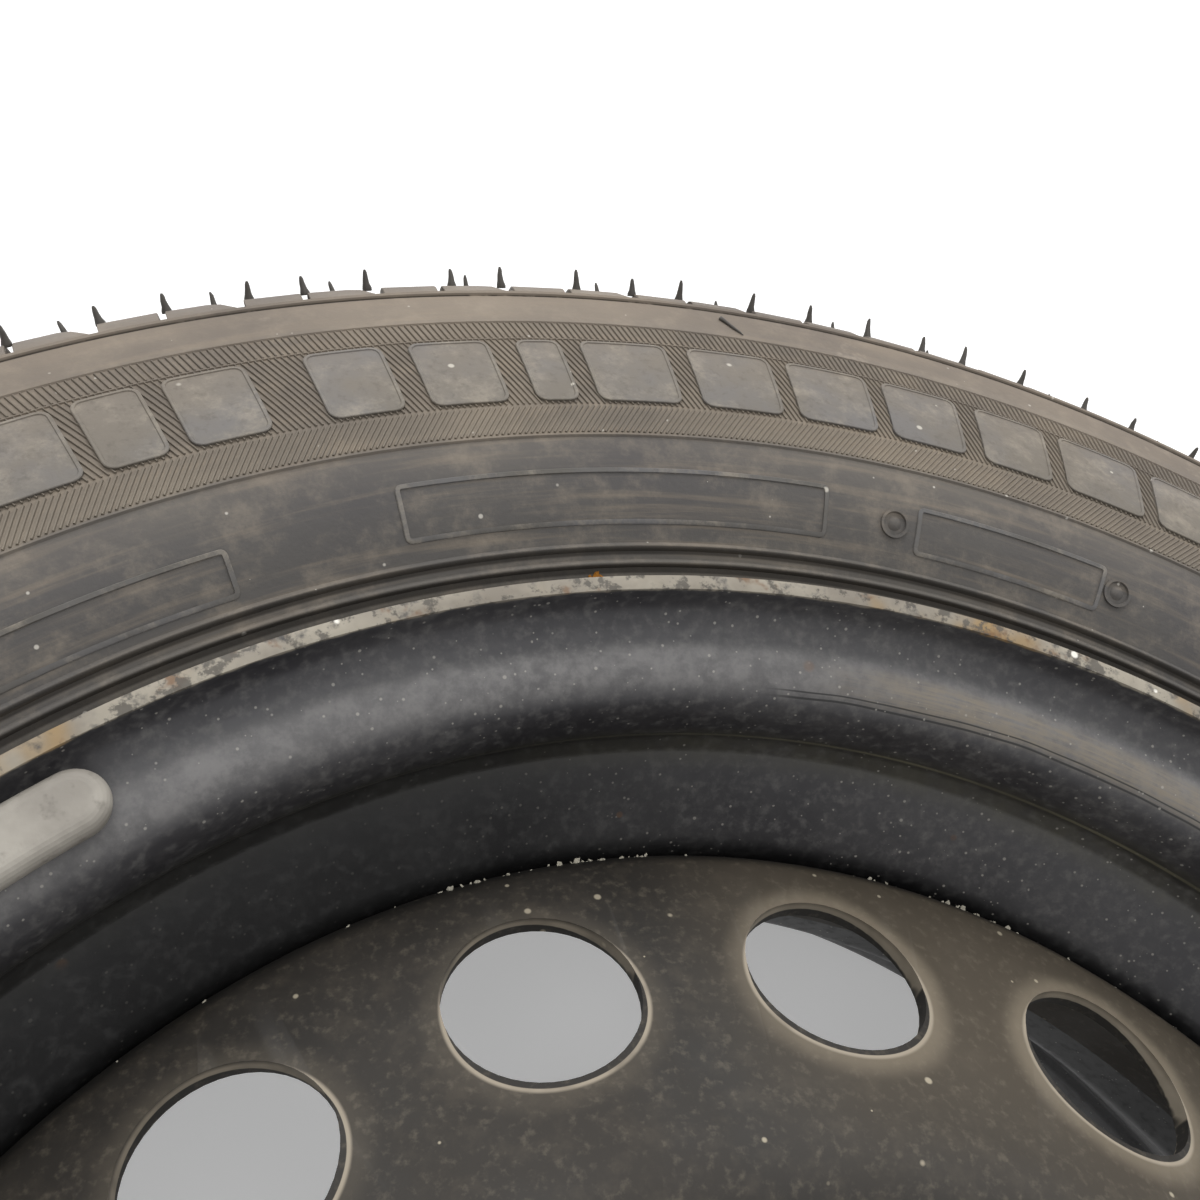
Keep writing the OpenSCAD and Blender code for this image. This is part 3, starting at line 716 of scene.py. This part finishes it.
half_section = (tread_floor + mould_lip + wall_points + ring_on_slope(0.8) + ring_on_slope(3.8)
                + [slope_end] + bead_seat + liner)
other_half = [(p[0], -p[1]) for p in reversed(half_section[1:])]
tyre = section_line("tyre_body", half_section + [(284.25, 0.0)] + other_half, closed=True)
spin_round(tyre, steps=rubber_steps)
shade(tyre, 50)

rubber = Finish("dusty_rubber", specular=0.25)
tone = rubber.steps(rubber.radius, 205.0, 300.0, [
    (205.0, "3a3631"), (208.5, "68635b"), (212.0, "5c5852"), (216.0, "53504c"), (226.0, "575451"),
    (233.6, "645f59"), (236.0, "867c6e"), (243.0, "7c7265"), (262.0, "786e62"), (269.0, "7c7266"),
    (277.0, "84796c"), (284.0, "7a7167"), (292.0, "6e665d")])
patch = rubber.noise(17, 4, 0.6)
fine = rubber.noise(700, 3, 0.6)
streak = rubber.noise(1.0, 4, 0.6, rubber.round_vector(5, 0.35))
tone = rubber.blend(rubber.fade(patch, 0.3, 0.7, 0.0, 0.35), tone, "46464c")
tone = rubber.blend(rubber.fade(streak, 0.45, 0.75, 0.0, 0.35), tone, "948674")
pale = rubber.fade(rubber.noise(130, 5, 0.7), 0.45, 0.75)
tone = rubber.blend(rubber.product(pale, 0.3), tone, "9c9080")
scuff = rubber.product(rubber.fade(rubber.noise(46, 5, 0.7), 0.6, 0.78),
                       rubber.fade(rubber.radius, 262, 270))
tone = rubber.blend(rubber.product(scuff, 0.7), tone, "b3a797")
tone = rubber.blend(rubber.product(rubber.specks(380, 0.2, 0.12), 0.7), tone, "c9c4ba")
# Dark bands in the grooves between the rings over the bead are painted shade.
painted_groove_shade = rubber.sum("MAXIMUM", rubber.band(rubber.radius, 209.9, 210.6, 0.45),
                    rubber.band(rubber.radius, 212.9, 213.5, 0.4))
tone = rubber.blend(rubber.product(painted_groove_shade, 0.75), tone, "1f1b16")
# A thin broken dark line along the crease under the shoulder blocks is painted shade.
painted_crease_shade = rubber.product(rubber.band(rubber.radius, 277.85, 278.1, 0.25),
                       rubber.fade(rubber.noise(120, 4, 0.7), 0.35, 0.5))
tone = rubber.blend(rubber.product(painted_crease_shade, 0.8), tone, "26221d")
tyre_rough = rubber.fade(patch, 0.3, 0.7, 0.62, 0.8)
tyre_rubber = rubber.close(tone, tyre_rough, rubber.sum("ADD", fine, patch), 0.00025, 0.5)
finish_piece(tyre, tyre_rubber, "tyre", "wheel", "tyre")

# Tread
# The tread is moulded with the body: 128 shoulder blocks a side between leaning slots and sipes, and
# one rib of small blocks on each side of the middle groove. The edges are eased only a little.
def ring_of(piece, count, parts=None):
    """Copies a piece round the axle line, count times in all, in steps of a turn over parts or count."""
    turn = bpy.data.objects.new("turn", None)
    bpy.context.scene.collection.objects.link(turn)
    turn.rotation_euler.z = 2 * math.pi / (parts or count)
    bpy.context.view_layer.update()
    modify(piece, "ARRAY", use_relative_offset=False, use_object_offset=True, offset_object=turn,
           count=count)
    bpy.data.objects.remove(turn)


def slice_off(piece, angle, lean, pivot, keep_below, slope=0.0):
    """Cuts a piece at an angle, leaning about the pivot's height and sloping inwards."""
    turn = Matrix.Rotation(math.radians(angle), 3, "Z")
    foot = tyre_radius - (14.0 if slope else 0.0)
    point = turn @ Vector((foot * MM, 0.0, (pivot + middle) * MM))
    lean, slope = math.radians(lean), math.radians(slope)
    normal = turn @ Vector((-math.sin(slope), math.cos(slope) * math.cos(lean),
                            -math.cos(slope) * math.sin(lean)))
    edit(piece)
    bpy.ops.mesh.select_all(action="SELECT")
    bpy.ops.mesh.bisect(plane_co=point, plane_no=normal, use_fill=True,
                        clear_outer=keep_below, clear_inner=not keep_below)
    done()


def tread_block(name, outline, start, end, lean, pivot, slope=0.0):
    """One block of the tread between two leaning cuts, its edges eased."""
    reach = 3.2
    block = section_line(name, outline, bend_parts=5, closed=True)
    spin_round(block, angle=end - start + 2 * reach, steps=4, start=start - reach)
    slice_off(block, end, lean, pivot, True)
    slice_off(block, start, lean, pivot, False, slope)
    modify(block, "BEVEL", width=0.45 * MM, segments=1, limit_method="ANGLE",
           angle_limit=math.radians(50))
    return block


block_count = 64
pitch = 360 / block_count
slot_width, sipe_width = 4.0, 1.5
slot_angle = math.degrees(slot_width / tyre_radius)
sipe_angle = math.degrees(sipe_width / tyre_radius)
shoulder_outline = [
    (crown(31.3), 31.3, 0), (crown(43.0), 43.0, 0), (crown(61.0), 61.0, 26.0), (279.9, 67.8, 0),
    (279.2, 66.4, 0), (287.3, 47.3, 0), (289.4, 34.5, 0), (288.5, 30.8, 0)]
slot_lean, slot_pivot, first_slope = 12.0, 35.0, 38.0
shoulders = []
for start, end, slope in ((slot_angle / 2, pitch / 2 - sipe_angle / 2, first_slope),
                          (pitch / 2 + sipe_angle / 2, pitch - slot_angle / 2, 0.0)):
    shoulders.append(tread_block("shoulder_block", shoulder_outline, start, end, slot_lean,
                                 slot_pivot, slope))
outboard_tread = join("tread_shoulder_outboard", shoulders)
ring_of(outboard_tread, block_count)
shade(outboard_tread, 40)


def inboard_copy(piece, name):
    """A mirrored copy of an outboard piece for the inboard side, turned by half a block."""
    work_on(piece)
    bpy.ops.object.duplicate()
    copy = bpy.context.object
    copy.name = name
    half_pitch = turned(pitch / 2)
    over = Matrix.Translation((0, 0, 2 * middle * MM)) @ Matrix.Scale(-1, 4, (0, 0, 1))
    edit(copy)
    mesh = bmesh.from_edit_mesh(copy.data)
    bmesh.ops.transform(mesh, matrix=over @ half_pitch, verts=mesh.verts)
    bmesh.ops.reverse_faces(mesh, faces=mesh.faces)
    bmesh.update_edit_mesh(copy.data)
    done()
    return copy


inboard_tread = inboard_copy(outboard_tread, "tread_shoulder_inboard")
rib_parts = []
for low, high, lean in ((4.2, 22.8, 24.0), (-22.8, -4.2, -24.0)):
    rib_outline = [(crown(low), low, 0), (crown(high), high, 0), (288.8, high + 1.0, 0),
                   (288.8, low - 1.0, 0)]
    rib_parts.append(tread_block("rib_block", rib_outline, 0.12, pitch - 0.12, lean, (low + high) / 2))
ribs = join("tread_ribs", rib_parts)
ring_of(ribs, block_count)
shade(ribs, 40)
for piece in (outboard_tread, inboard_tread, ribs):
    finish_piece(piece, tyre_rubber, "tyre", "wheel", "tyre")

# Sidewall relief
# The mould leaves a hatched band of fine ridges round the sidewall. Blank raised plates with a thin
# border stand in it, and lower down there are thin outlines and two round marks a side.
def settle(piece):
    """Moves a piece's place into its mesh."""
    work_on(piece)
    bpy.ops.object.transform_apply(location=True, rotation=True, scale=True)


def lay_on_wall(piece, radius, turn=0.0):
    """Puts a piece that was made flat at the origin on the sidewall, +X outwards and +Z off the wall."""
    gap = 0.5
    tip = math.atan2(wall_height(radius + gap) - wall_height(radius - gap), 2 * gap)
    place = (turned(turn) @ Matrix.Translation(at(radius, wall_height(radius)))
             @ Matrix.Rotation(-tip, 4, "Y"))
    piece.matrix_world = place @ piece.matrix_world
    settle(piece)


def ridge(name, inner, outer, slant, width, height, cuts):
    """One moulded ridge from an inner to an outer radius, slanting by an angle and following the wall."""
    clear_selection()
    length = (outer - inner) / math.cos(math.radians(slant))
    bpy.ops.mesh.primitive_cube_add(size=1.0, scale=(length * MM, width * MM, height * 2 * MM))
    piece = bpy.context.object
    piece.name = name
    piece.rotation_euler.z = math.radians(slant)
    piece.location.x = (inner + outer) / 2 * MM
    settle(piece)
    edit(piece)

    def lengthwise(edge):
        step = edge.verts[0].co - edge.verts[1].co
        return step.length > 3 * height * MM and abs(step.z) < 1e-6 and abs(step.x) > 2 * MM

    choose(piece, "edges", lengthwise)
    bpy.ops.mesh.subdivide(number_cuts=cuts)
    mesh = bmesh.from_edit_mesh(piece.data)
    centre = Vector(((inner + outer) / 2 * MM, 0.0))
    way = Vector((math.cos(math.radians(slant)), math.sin(math.radians(slant))))
    for vertex in mesh.verts:
        top = vertex.co.z > 0
        along = (vertex.co.xy - centre).dot(way)
        if top:
            vertex.co.xy = centre + way * along + (vertex.co.xy - centre - way * along) * 0.3
        radius = vertex.co.xy.length / MM
        vertex.co.z = (wall_height(radius) + (height if top else -0.35) + middle) * MM
    bmesh.update_edit_mesh(piece.data)
    done()
    return piece


ridge_count, ridge_groups = 1344, 42
hatch = []
for name, inner, outer, slant, width, up, cuts in (
        ("hatch_low", 234.9, 241.4, -36.0, 0.75, 0.38, 1),
        ("hatch_middle", 242.0, 261.9, 20.0, 0.62, 0.36, 4),
        ("hatch_high", 262.5, 267.8, 12.0, 0.7, 0.36, 1)):
    piece = ridge(name, inner, outer, slant, width, up, cuts)
    ring_of(piece, ridge_groups)
    ring_of(piece, ridge_count // ridge_groups, ridge_count)
    hatch.append(piece)
hatching = join("sidewall_hatching", hatch)

ridged = Finish("ridge_rubber", specular=0.25)
patch = ridged.noise(17, 4, 0.6)
tone = ridged.steps(ridged.radius, 234.0, 268.0, [(234.0, "867d70"), (246.0, "766d61"), (268.0, "746b5f")])
tone = ridged.blend(ridged.fade(patch, 0.3, 0.7, 0.0, 0.4), tone, "4b4948")
tone = ridged.blend(ridged.fade(ridged.noise(60, 4, 0.6), 0.5, 0.75, 0.0, 0.5), tone, "988b79")
ridge_rubber = ridged.close(tone, 0.72, ridged.noise(600), 0.0002, 0.4)
finish_piece(hatching, ridge_rubber, "tyre", "wheel", "tyre")
finish_piece(inboard_copy(hatching, "sidewall_hatching_inboard"), ridge_rubber, "tyre", "wheel", "tyre")


border_up = 0.12


def plate(name, start, end, inner, outer, up, corner, border, sunk):
    """A raised plate on the sidewall between two angles and radii, with round corners and a border."""
    radii = [inner + (outer - inner) * i / 4 for i in range(5)]
    outline = [(outer, wall_height(outer) - 0.6), (inner, wall_height(inner) - 0.6)] + [
        (r, wall_height(r) + up) for r in radii]
    piece = section_line(name, outline, closed=True)
    spin_round(piece, angle=end - start, steps=max(3, round((end - start) / 0.9)), start=start)
    edit(piece)

    def upright(edge):
        a, b = (v.co for v in edge.verts)
        flat = math.hypot(a.x - b.x, a.y - b.y)
        radius = math.hypot(a.x, a.y) / MM
        turn = math.degrees(math.atan2(a.y, a.x))
        at_end = min(abs((turn - t + 180) % 360 - 180) for t in (start, end)) < 0.02
        return abs(a.z - b.z) > 4 * flat and at_end and min(abs(radius - inner), abs(radius - outer)) < 0.05

    choose(piece, "edges", upright)
    bpy.ops.mesh.bevel(offset=corner * MM, segments=4, affect="EDGES")
    face_outwards()
    choose(piece, "faces", lambda f: f.normal.z > 0.85)
    bpy.ops.mesh.inset(thickness=0.15 * MM, depth=0.0)
    bpy.ops.transform.translate(value=(0, 0, border_up * MM))
    bpy.ops.mesh.inset(thickness=border * MM, depth=0.0)
    bpy.ops.mesh.inset(thickness=0.15 * MM, depth=0.0)
    bpy.ops.transform.translate(value=(0, 0, -sunk * MM))
    done()
    return piece


plate_ends = [(132.2, 136.6), (127.0, 131.0), (122.3, 126.2), (119.0, 121.6), (114.9, 118.2),
              (109.3, 112.6), (104.7, 108.2), (101.5, 103.5), (96.6, 100.6), (91.6, 95.6),
              (86.8, 90.8), (82.2, 86.0), (77.6, 81.2), (72.6, 76.8), (67.8, 71.8)]
outline_places = ((89.7, 111.0, 217.6, 227.4), (74.4, 84.9, 217.6, 226.6), (118.6, 130.2, 215.9, 223.6))
plates = []
for start, end in plate_ends:
    for opposite in (0, 180):
        plates.append(plate("raised_plate", start + opposite, end + opposite, 242.6, 261.2,
                            0.62, 2.2, 0.5, 0.22))
for start, end, inner, outer in outline_places:
    for opposite in (0, 180):
        plates.append(plate("thin_outline", start + opposite, end + opposite, inner, outer,
                            0.22, 1.2, 0.7, 0.75))
plates = join("blank_plates", plates)
shade(plates, 30)
smooth = Finish("plate_rubber", specular=0.3)
tone = smooth.steps(smooth.radius, 215.0, 262.0, [
    (215.0, "55524e"), (228.0, "5b5853"), (242.0, "6b655c"), (262.0, "756d63")])
tone = smooth.blend(smooth.fade(smooth.noise(38, 4, 0.6), 0.4, 0.7, 0.0, 0.5), tone, "6a6a6d")
tone = smooth.blend(smooth.fade(smooth.noise(110, 6, 0.75), 0.46, 0.72, 0.0, 0.55), tone, "9a9183")
tone = smooth.blend(smooth.fade(smooth.noise(480, 4, 0.7), 0.5, 0.7, 0.0, 0.35), tone, "4f4a43")
tone = smooth.blend(smooth.product(smooth.specks(300, 0.25, 0.15), 0.7), tone, "cdc7bb")
plate_bump = smooth.sum("ADD", smooth.noise(650, 3, 0.6), smooth.noise(90))
plate_rubber = smooth.close(tone, 0.6, plate_bump, 0.0002, 0.4)
finish_piece(plates, plate_rubber, "tyre", "wheel", "tyre")
finish_piece(inboard_copy(plates, "blank_plates_inboard"), plate_rubber, "tyre", "wheel", "tyre")

marks = []
mark_radius, mark_middle = 2.9, 222.5
for turn in (86.1, 73.6, 266.1, 253.6):
    clear_selection()
    bpy.ops.mesh.primitive_cylinder_add(vertices=32, radius=mark_radius * MM, depth=1.0 * MM)
    ring = bpy.context.object
    edit(ring)
    choose(ring, "faces", lambda f: f.normal.z > 0.9)
    bpy.ops.mesh.inset(thickness=0.55 * MM, depth=0.0)
    bpy.ops.mesh.inset(thickness=0.15 * MM, depth=-0.55 * MM)
    bpy.ops.mesh.inset(thickness=0.7 * MM, depth=0.0)
    bpy.ops.mesh.inset(thickness=0.45 * MM, depth=0.35 * MM)
    bpy.ops.mesh.inset(thickness=0.5 * MM, depth=0.25 * MM)
    done()
    lay_on_wall(ring, mark_middle, turn)
    marks.append(ring)
marks = join("round_marks", marks)
shade(marks, 35)
finish_piece(marks, tyre_rubber, "tyre", "wheel", "tyre")

# Vent whiskers
# Thin rubber hairs stand where the mould's vents were: one row on the shoulder and one further in,
# each slightly bent. They are moulded with the tread, and none reaches past the crown.
random.seed(7)


def whisker(name, turn, radius, height, tilt, length, foot):
    """One tapered hair that leaves the tread at an angle and bends over a little."""
    clear_selection()
    bpy.ops.mesh.primitive_cylinder_add(vertices=6, radius=foot * MM, depth=0.6 * MM)
    hair = bpy.context.object
    hair.name = name
    edit(hair)
    choose(hair, "faces", lambda f: f.normal.z > 0.9)
    for share, thin in ((0.25, 0.72), (0.3, 0.8), (0.3, 0.75), (0.15, 0.5)):
        lean = (random.uniform(-0.12, 0.12), random.uniform(-0.02, 0.22))
        bpy.ops.mesh.extrude_region_move(TRANSFORM_OT_translate={
            "value": Vector((lean[0], lean[1], 1.0)) * share * length * MM})
        bpy.ops.transform.resize(value=(thin, thin, thin))
    done()
    hair.matrix_world = (turned(turn) @ Matrix.Translation(at(radius, height))
                         @ Matrix.Rotation(math.radians(tilt), 4, "Y"))
    settle(hair)
    return hair


hairs = []
whisker_count, kinds = 128, 16
for i in range(kinds):
    turn = 0.9 + i * 360 / whisker_count + random.uniform(-0.5, 0.5)
    hairs.append(whisker("whisker", turn, 288.0, 60.6, random.uniform(38, 54),
                         random.uniform(3.2, 4.4), 1.0))
    if i % 2 == 0:
        hairs.append(whisker("whisker", turn + 1.1, 291.2, 53.5, 62, random.uniform(3.6, 4.6), 0.95))
whiskers = join("vent_whiskers", hairs)
ring_of(whiskers, whisker_count // kinds)
shade(whiskers, 60)
hair_rubber = Finish("hair_rubber", specular=0.3)
hair_tone = hair_rubber.blend(hair_rubber.noise(240), "3b3835", "5c5853")
hair_rubber.close(hair_tone, 0.6, hair_rubber.noise(900), 0.0001, 0.3)
finish_piece(whiskers, hair_rubber.material, "tyre", "wheel", "tyre")
finish_piece(inboard_copy(whiskers, "vent_whiskers_inboard"), hair_rubber.material, "tyre", "wheel", "tyre")

# Valve
# The snap-in valve is a brass stem moulded into a rubber body that is pulled through the rim's hole.
# A brass core with a sprung pin screws into it, and a ribbed plastic cap with a washer closes it.
moulded = Finish("valve_rubber_finish", specular=0.35)
grain = moulded.noise(900, 3)
moulded_tone = moulded.blend(moulded.fade(moulded.noise(120, 3), 0.4, 0.7, 0.0, 0.5), "252423", "4a4640")
valve_rubber = moulded.close(moulded_tone, 0.62, grain, 0.0001, 0.4)
brass = Finish("turned_brass", metallic=1.0)
brass_tone = brass.blend(brass.fade(brass.noise(260, 4), 0.4, 0.7), "b8934c", "8a6f3c")
brass_rough = brass.fade(brass.noise(500), 0.3, 0.7, 0.25, 0.42)
turned_brass = brass.close(brass_tone, brass_rough, brass.noise(1500), 0.00005, 0.3)
seal = Finish("white_seal_finish")
seal_tone = seal.blend(seal.noise(400), "d8d3c6", "c6bfae")
white_seal = seal.close(seal_tone, 0.5, seal.noise(1200), 0.00005, 0.3)
wire = Finish("spring_wire", metallic=1.0)
wire_tone = wire.blend(wire.noise(900), "a3a3a6", "7f7f82")
spring_wire = wire.close(wire_tone, 0.3, wire.noise(2000), 0.00003, 0.3)
plastic = Finish("cap_plastic_finish", specular=0.4)
cap_tone = plastic.blend(plastic.fade(plastic.noise(210, 4), 0.45, 0.7, 0.0, 0.6), "232323", "57534c")
cap_plastic = plastic.close(cap_tone, 0.52, plastic.noise(1100), 0.00008, 0.4)
for node, finish in (("valve_rubber", valve_rubber), ("valve_stem", turned_brass),
                     ("valve_core_body", turned_brass), ("valve_core_gasket", white_seal),
                     ("valve_core_pin", turned_brass), ("valve_core_cup", valve_rubber),
                     ("valve_cap", cap_plastic), ("valve_cap_seal", valve_rubber)):
    dress(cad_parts[node], finish)

spring_foot, spring_top = 17.03, 27.67
coils, wire_radius, coil_radius = 7, 0.12, 0.825
clear_selection()
bpy.ops.mesh.primitive_circle_add(vertices=8, radius=wire_radius * MM)
spring = bpy.context.object
spring.name = "core_spring"
edit(spring)
bpy.ops.mesh.select_all(action="SELECT")
mesh = bmesh.from_edit_mesh(spring.data)
wire_at = Matrix.Translation((coil_radius * MM, 0, wire_radius * MM))
bmesh.ops.transform(mesh, verts=mesh.verts, matrix=wire_at @ Matrix.Rotation(math.pi / 2, 4, "X"))
bmesh.update_edit_mesh(spring.data)
done()
modify(spring, "SCREW", angle=2 * math.pi * coils,
       screw_offset=(spring_top - spring_foot - 2 * wire_radius) * MM,
       steps=coils * 16, render_steps=coils * 16, axis="Z")
edit(spring)
bpy.ops.mesh.select_non_manifold()
bpy.ops.mesh.fill_holes(sides=0)
face_outwards()
done()
foot = valve_point + valve_axis * spring_foot * MM
spring.matrix_world = Matrix.Translation(foot) @ valve_axis.to_track_quat("Z", "Y").to_matrix().to_4x4()
settle(spring)
shade(spring, 60)
finish_piece(spring, spring_wire, "spring_steel", "wheel", "valve_core_spring")
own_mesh(spring)

# Balance weight
# The balance weight is a grey coated zinc bar along the flange, held by a spring steel clip that is
# knocked over the flange's lip.
coated = Finish("coated_zinc", specular=0.3)
patch = coated.noise(70, 4, 0.6)
zinc_tone = coated.blend(coated.fade(patch, 0.35, 0.65), "a19c93", "8b867e")
stains = coated.product(coated.fade(coated.noise(300, 4), 0.55, 0.75), 0.6)
zinc_tone = coated.blend(stains, zinc_tone, "5c5750")
zinc_finish = coated.close(zinc_tone, 0.6, coated.sum("ADD", patch, coated.noise(500)), 0.0002, 0.5)
strip = Finish("clip_strip", metallic=1.0)
strip_tone = strip.blend(strip.fade(strip.noise(200, 4), 0.4, 0.7), "77787a", "5b5348")
clip_finish = strip.close(strip_tone, 0.42, strip.noise(700), 0.00005, 0.3)
dress(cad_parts["balance_weight"], zinc_finish)
dress(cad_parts["balance_weight_clip"], clip_finish)

# Dirt
# Dried dirt lies as small pale lumps in the corner between disc and well, with a rust crumb on the
# bead and a loose rubber hair on the shoulder.
def crumb(turn, radius, height, size, flat=0.6):
    """One small rough lump."""
    clear_selection()
    bpy.ops.mesh.primitive_ico_sphere_add(subdivisions=1, radius=size * MM / 2)
    lump = bpy.context.object
    edit(lump)
    mesh = bmesh.from_edit_mesh(lump.data)
    for vertex in mesh.verts:
        vertex.co *= random.uniform(0.65, 1.25)
    bmesh.update_edit_mesh(lump.data)
    bpy.ops.mesh.select_all(action="SELECT")
    bpy.ops.transform.resize(value=(random.uniform(0.6, 1.0), random.uniform(0.8, 1.7), flat))
    done()
    lump.matrix_world = (turned(turn) @ Matrix.Translation(at(radius, height))
                         @ Matrix.Rotation(random.uniform(0, 6), 4, "Z"))
    settle(lump)
    return lump


crumbs = []
for turn, size in ((110.8, 1.6), (109.0, 1.9), (106.9, 1.1), (103.3, 1.8), (102.2, 2.2), (100.3, 1.5),
                   (97.6, 0.9), (80.7, 1.4), (74.6, 1.6), (73.4, 2.0), (69.8, 1.7)):
    crumbs.append(crumb(turn, 169.0, 28.6, size))
    for _ in range(5):
        crumbs.append(crumb(turn + random.uniform(-1.6, 1.6), 169.1 + random.uniform(-0.4, 0.3),
                            28.4 + random.uniform(-0.2, 0.5), random.uniform(0.35, 0.8)))
for _ in range(90):
    crumbs.append(crumb(random.uniform(0, 360), 169.0 + random.uniform(-0.3, 0.4), 28.4,
                        random.uniform(0.3, 0.9)))
dirt = join("dried_dirt", crumbs)
chalky = Finish("chalky_dirt", specular=0.1)
dirt_tone = chalky.blend(chalky.noise(160, 3), "a39c8a", "c9c5b8")
dirt_finish = chalky.close(dirt_tone, 0.9, chalky.noise(1500), 0.0002, 0.5)
finish_piece(dirt, dirt_finish, "painted_steel", "wheel")

hair_turn, hair_radius, hair_height = 93.1, 275.2, 70.2
loose = whisker("loose_hair", hair_turn, hair_radius, hair_height, 8, 6.5, 0.5)
edit(loose)
bpy.ops.mesh.select_all(action="SELECT")
loose_mesh = bmesh.from_edit_mesh(loose.data)
foot = turned(hair_turn) @ at(hair_radius, hair_height)
bmesh.ops.rotate(loose_mesh, verts=loose_mesh.verts, cent=foot,
                 matrix=Matrix.Rotation(math.radians(82), 3, Vector((0.80, 0.60, 0.0))))
bmesh.update_edit_mesh(loose.data)
done()
shade(loose, 60)
finish_piece(loose, hair_rubber.material, "tyre", "wheel")

rust = join("rust_crumb", [crumb(101.7 + 0.25 * i, 209.0, 71.9, size)
                           for i, size in enumerate((1.6, 2.2, 1.2))])
rusty = Finish("rust", specular=0.1)
rust_tone = rusty.blend(rusty.noise(700, 3), "a8722e", "6e4519")
rust_finish = rusty.close(rust_tone, 0.9, rusty.noise(1500), 0.0002, 0.5)
finish_piece(rust, rust_finish, "tyre", "wheel")
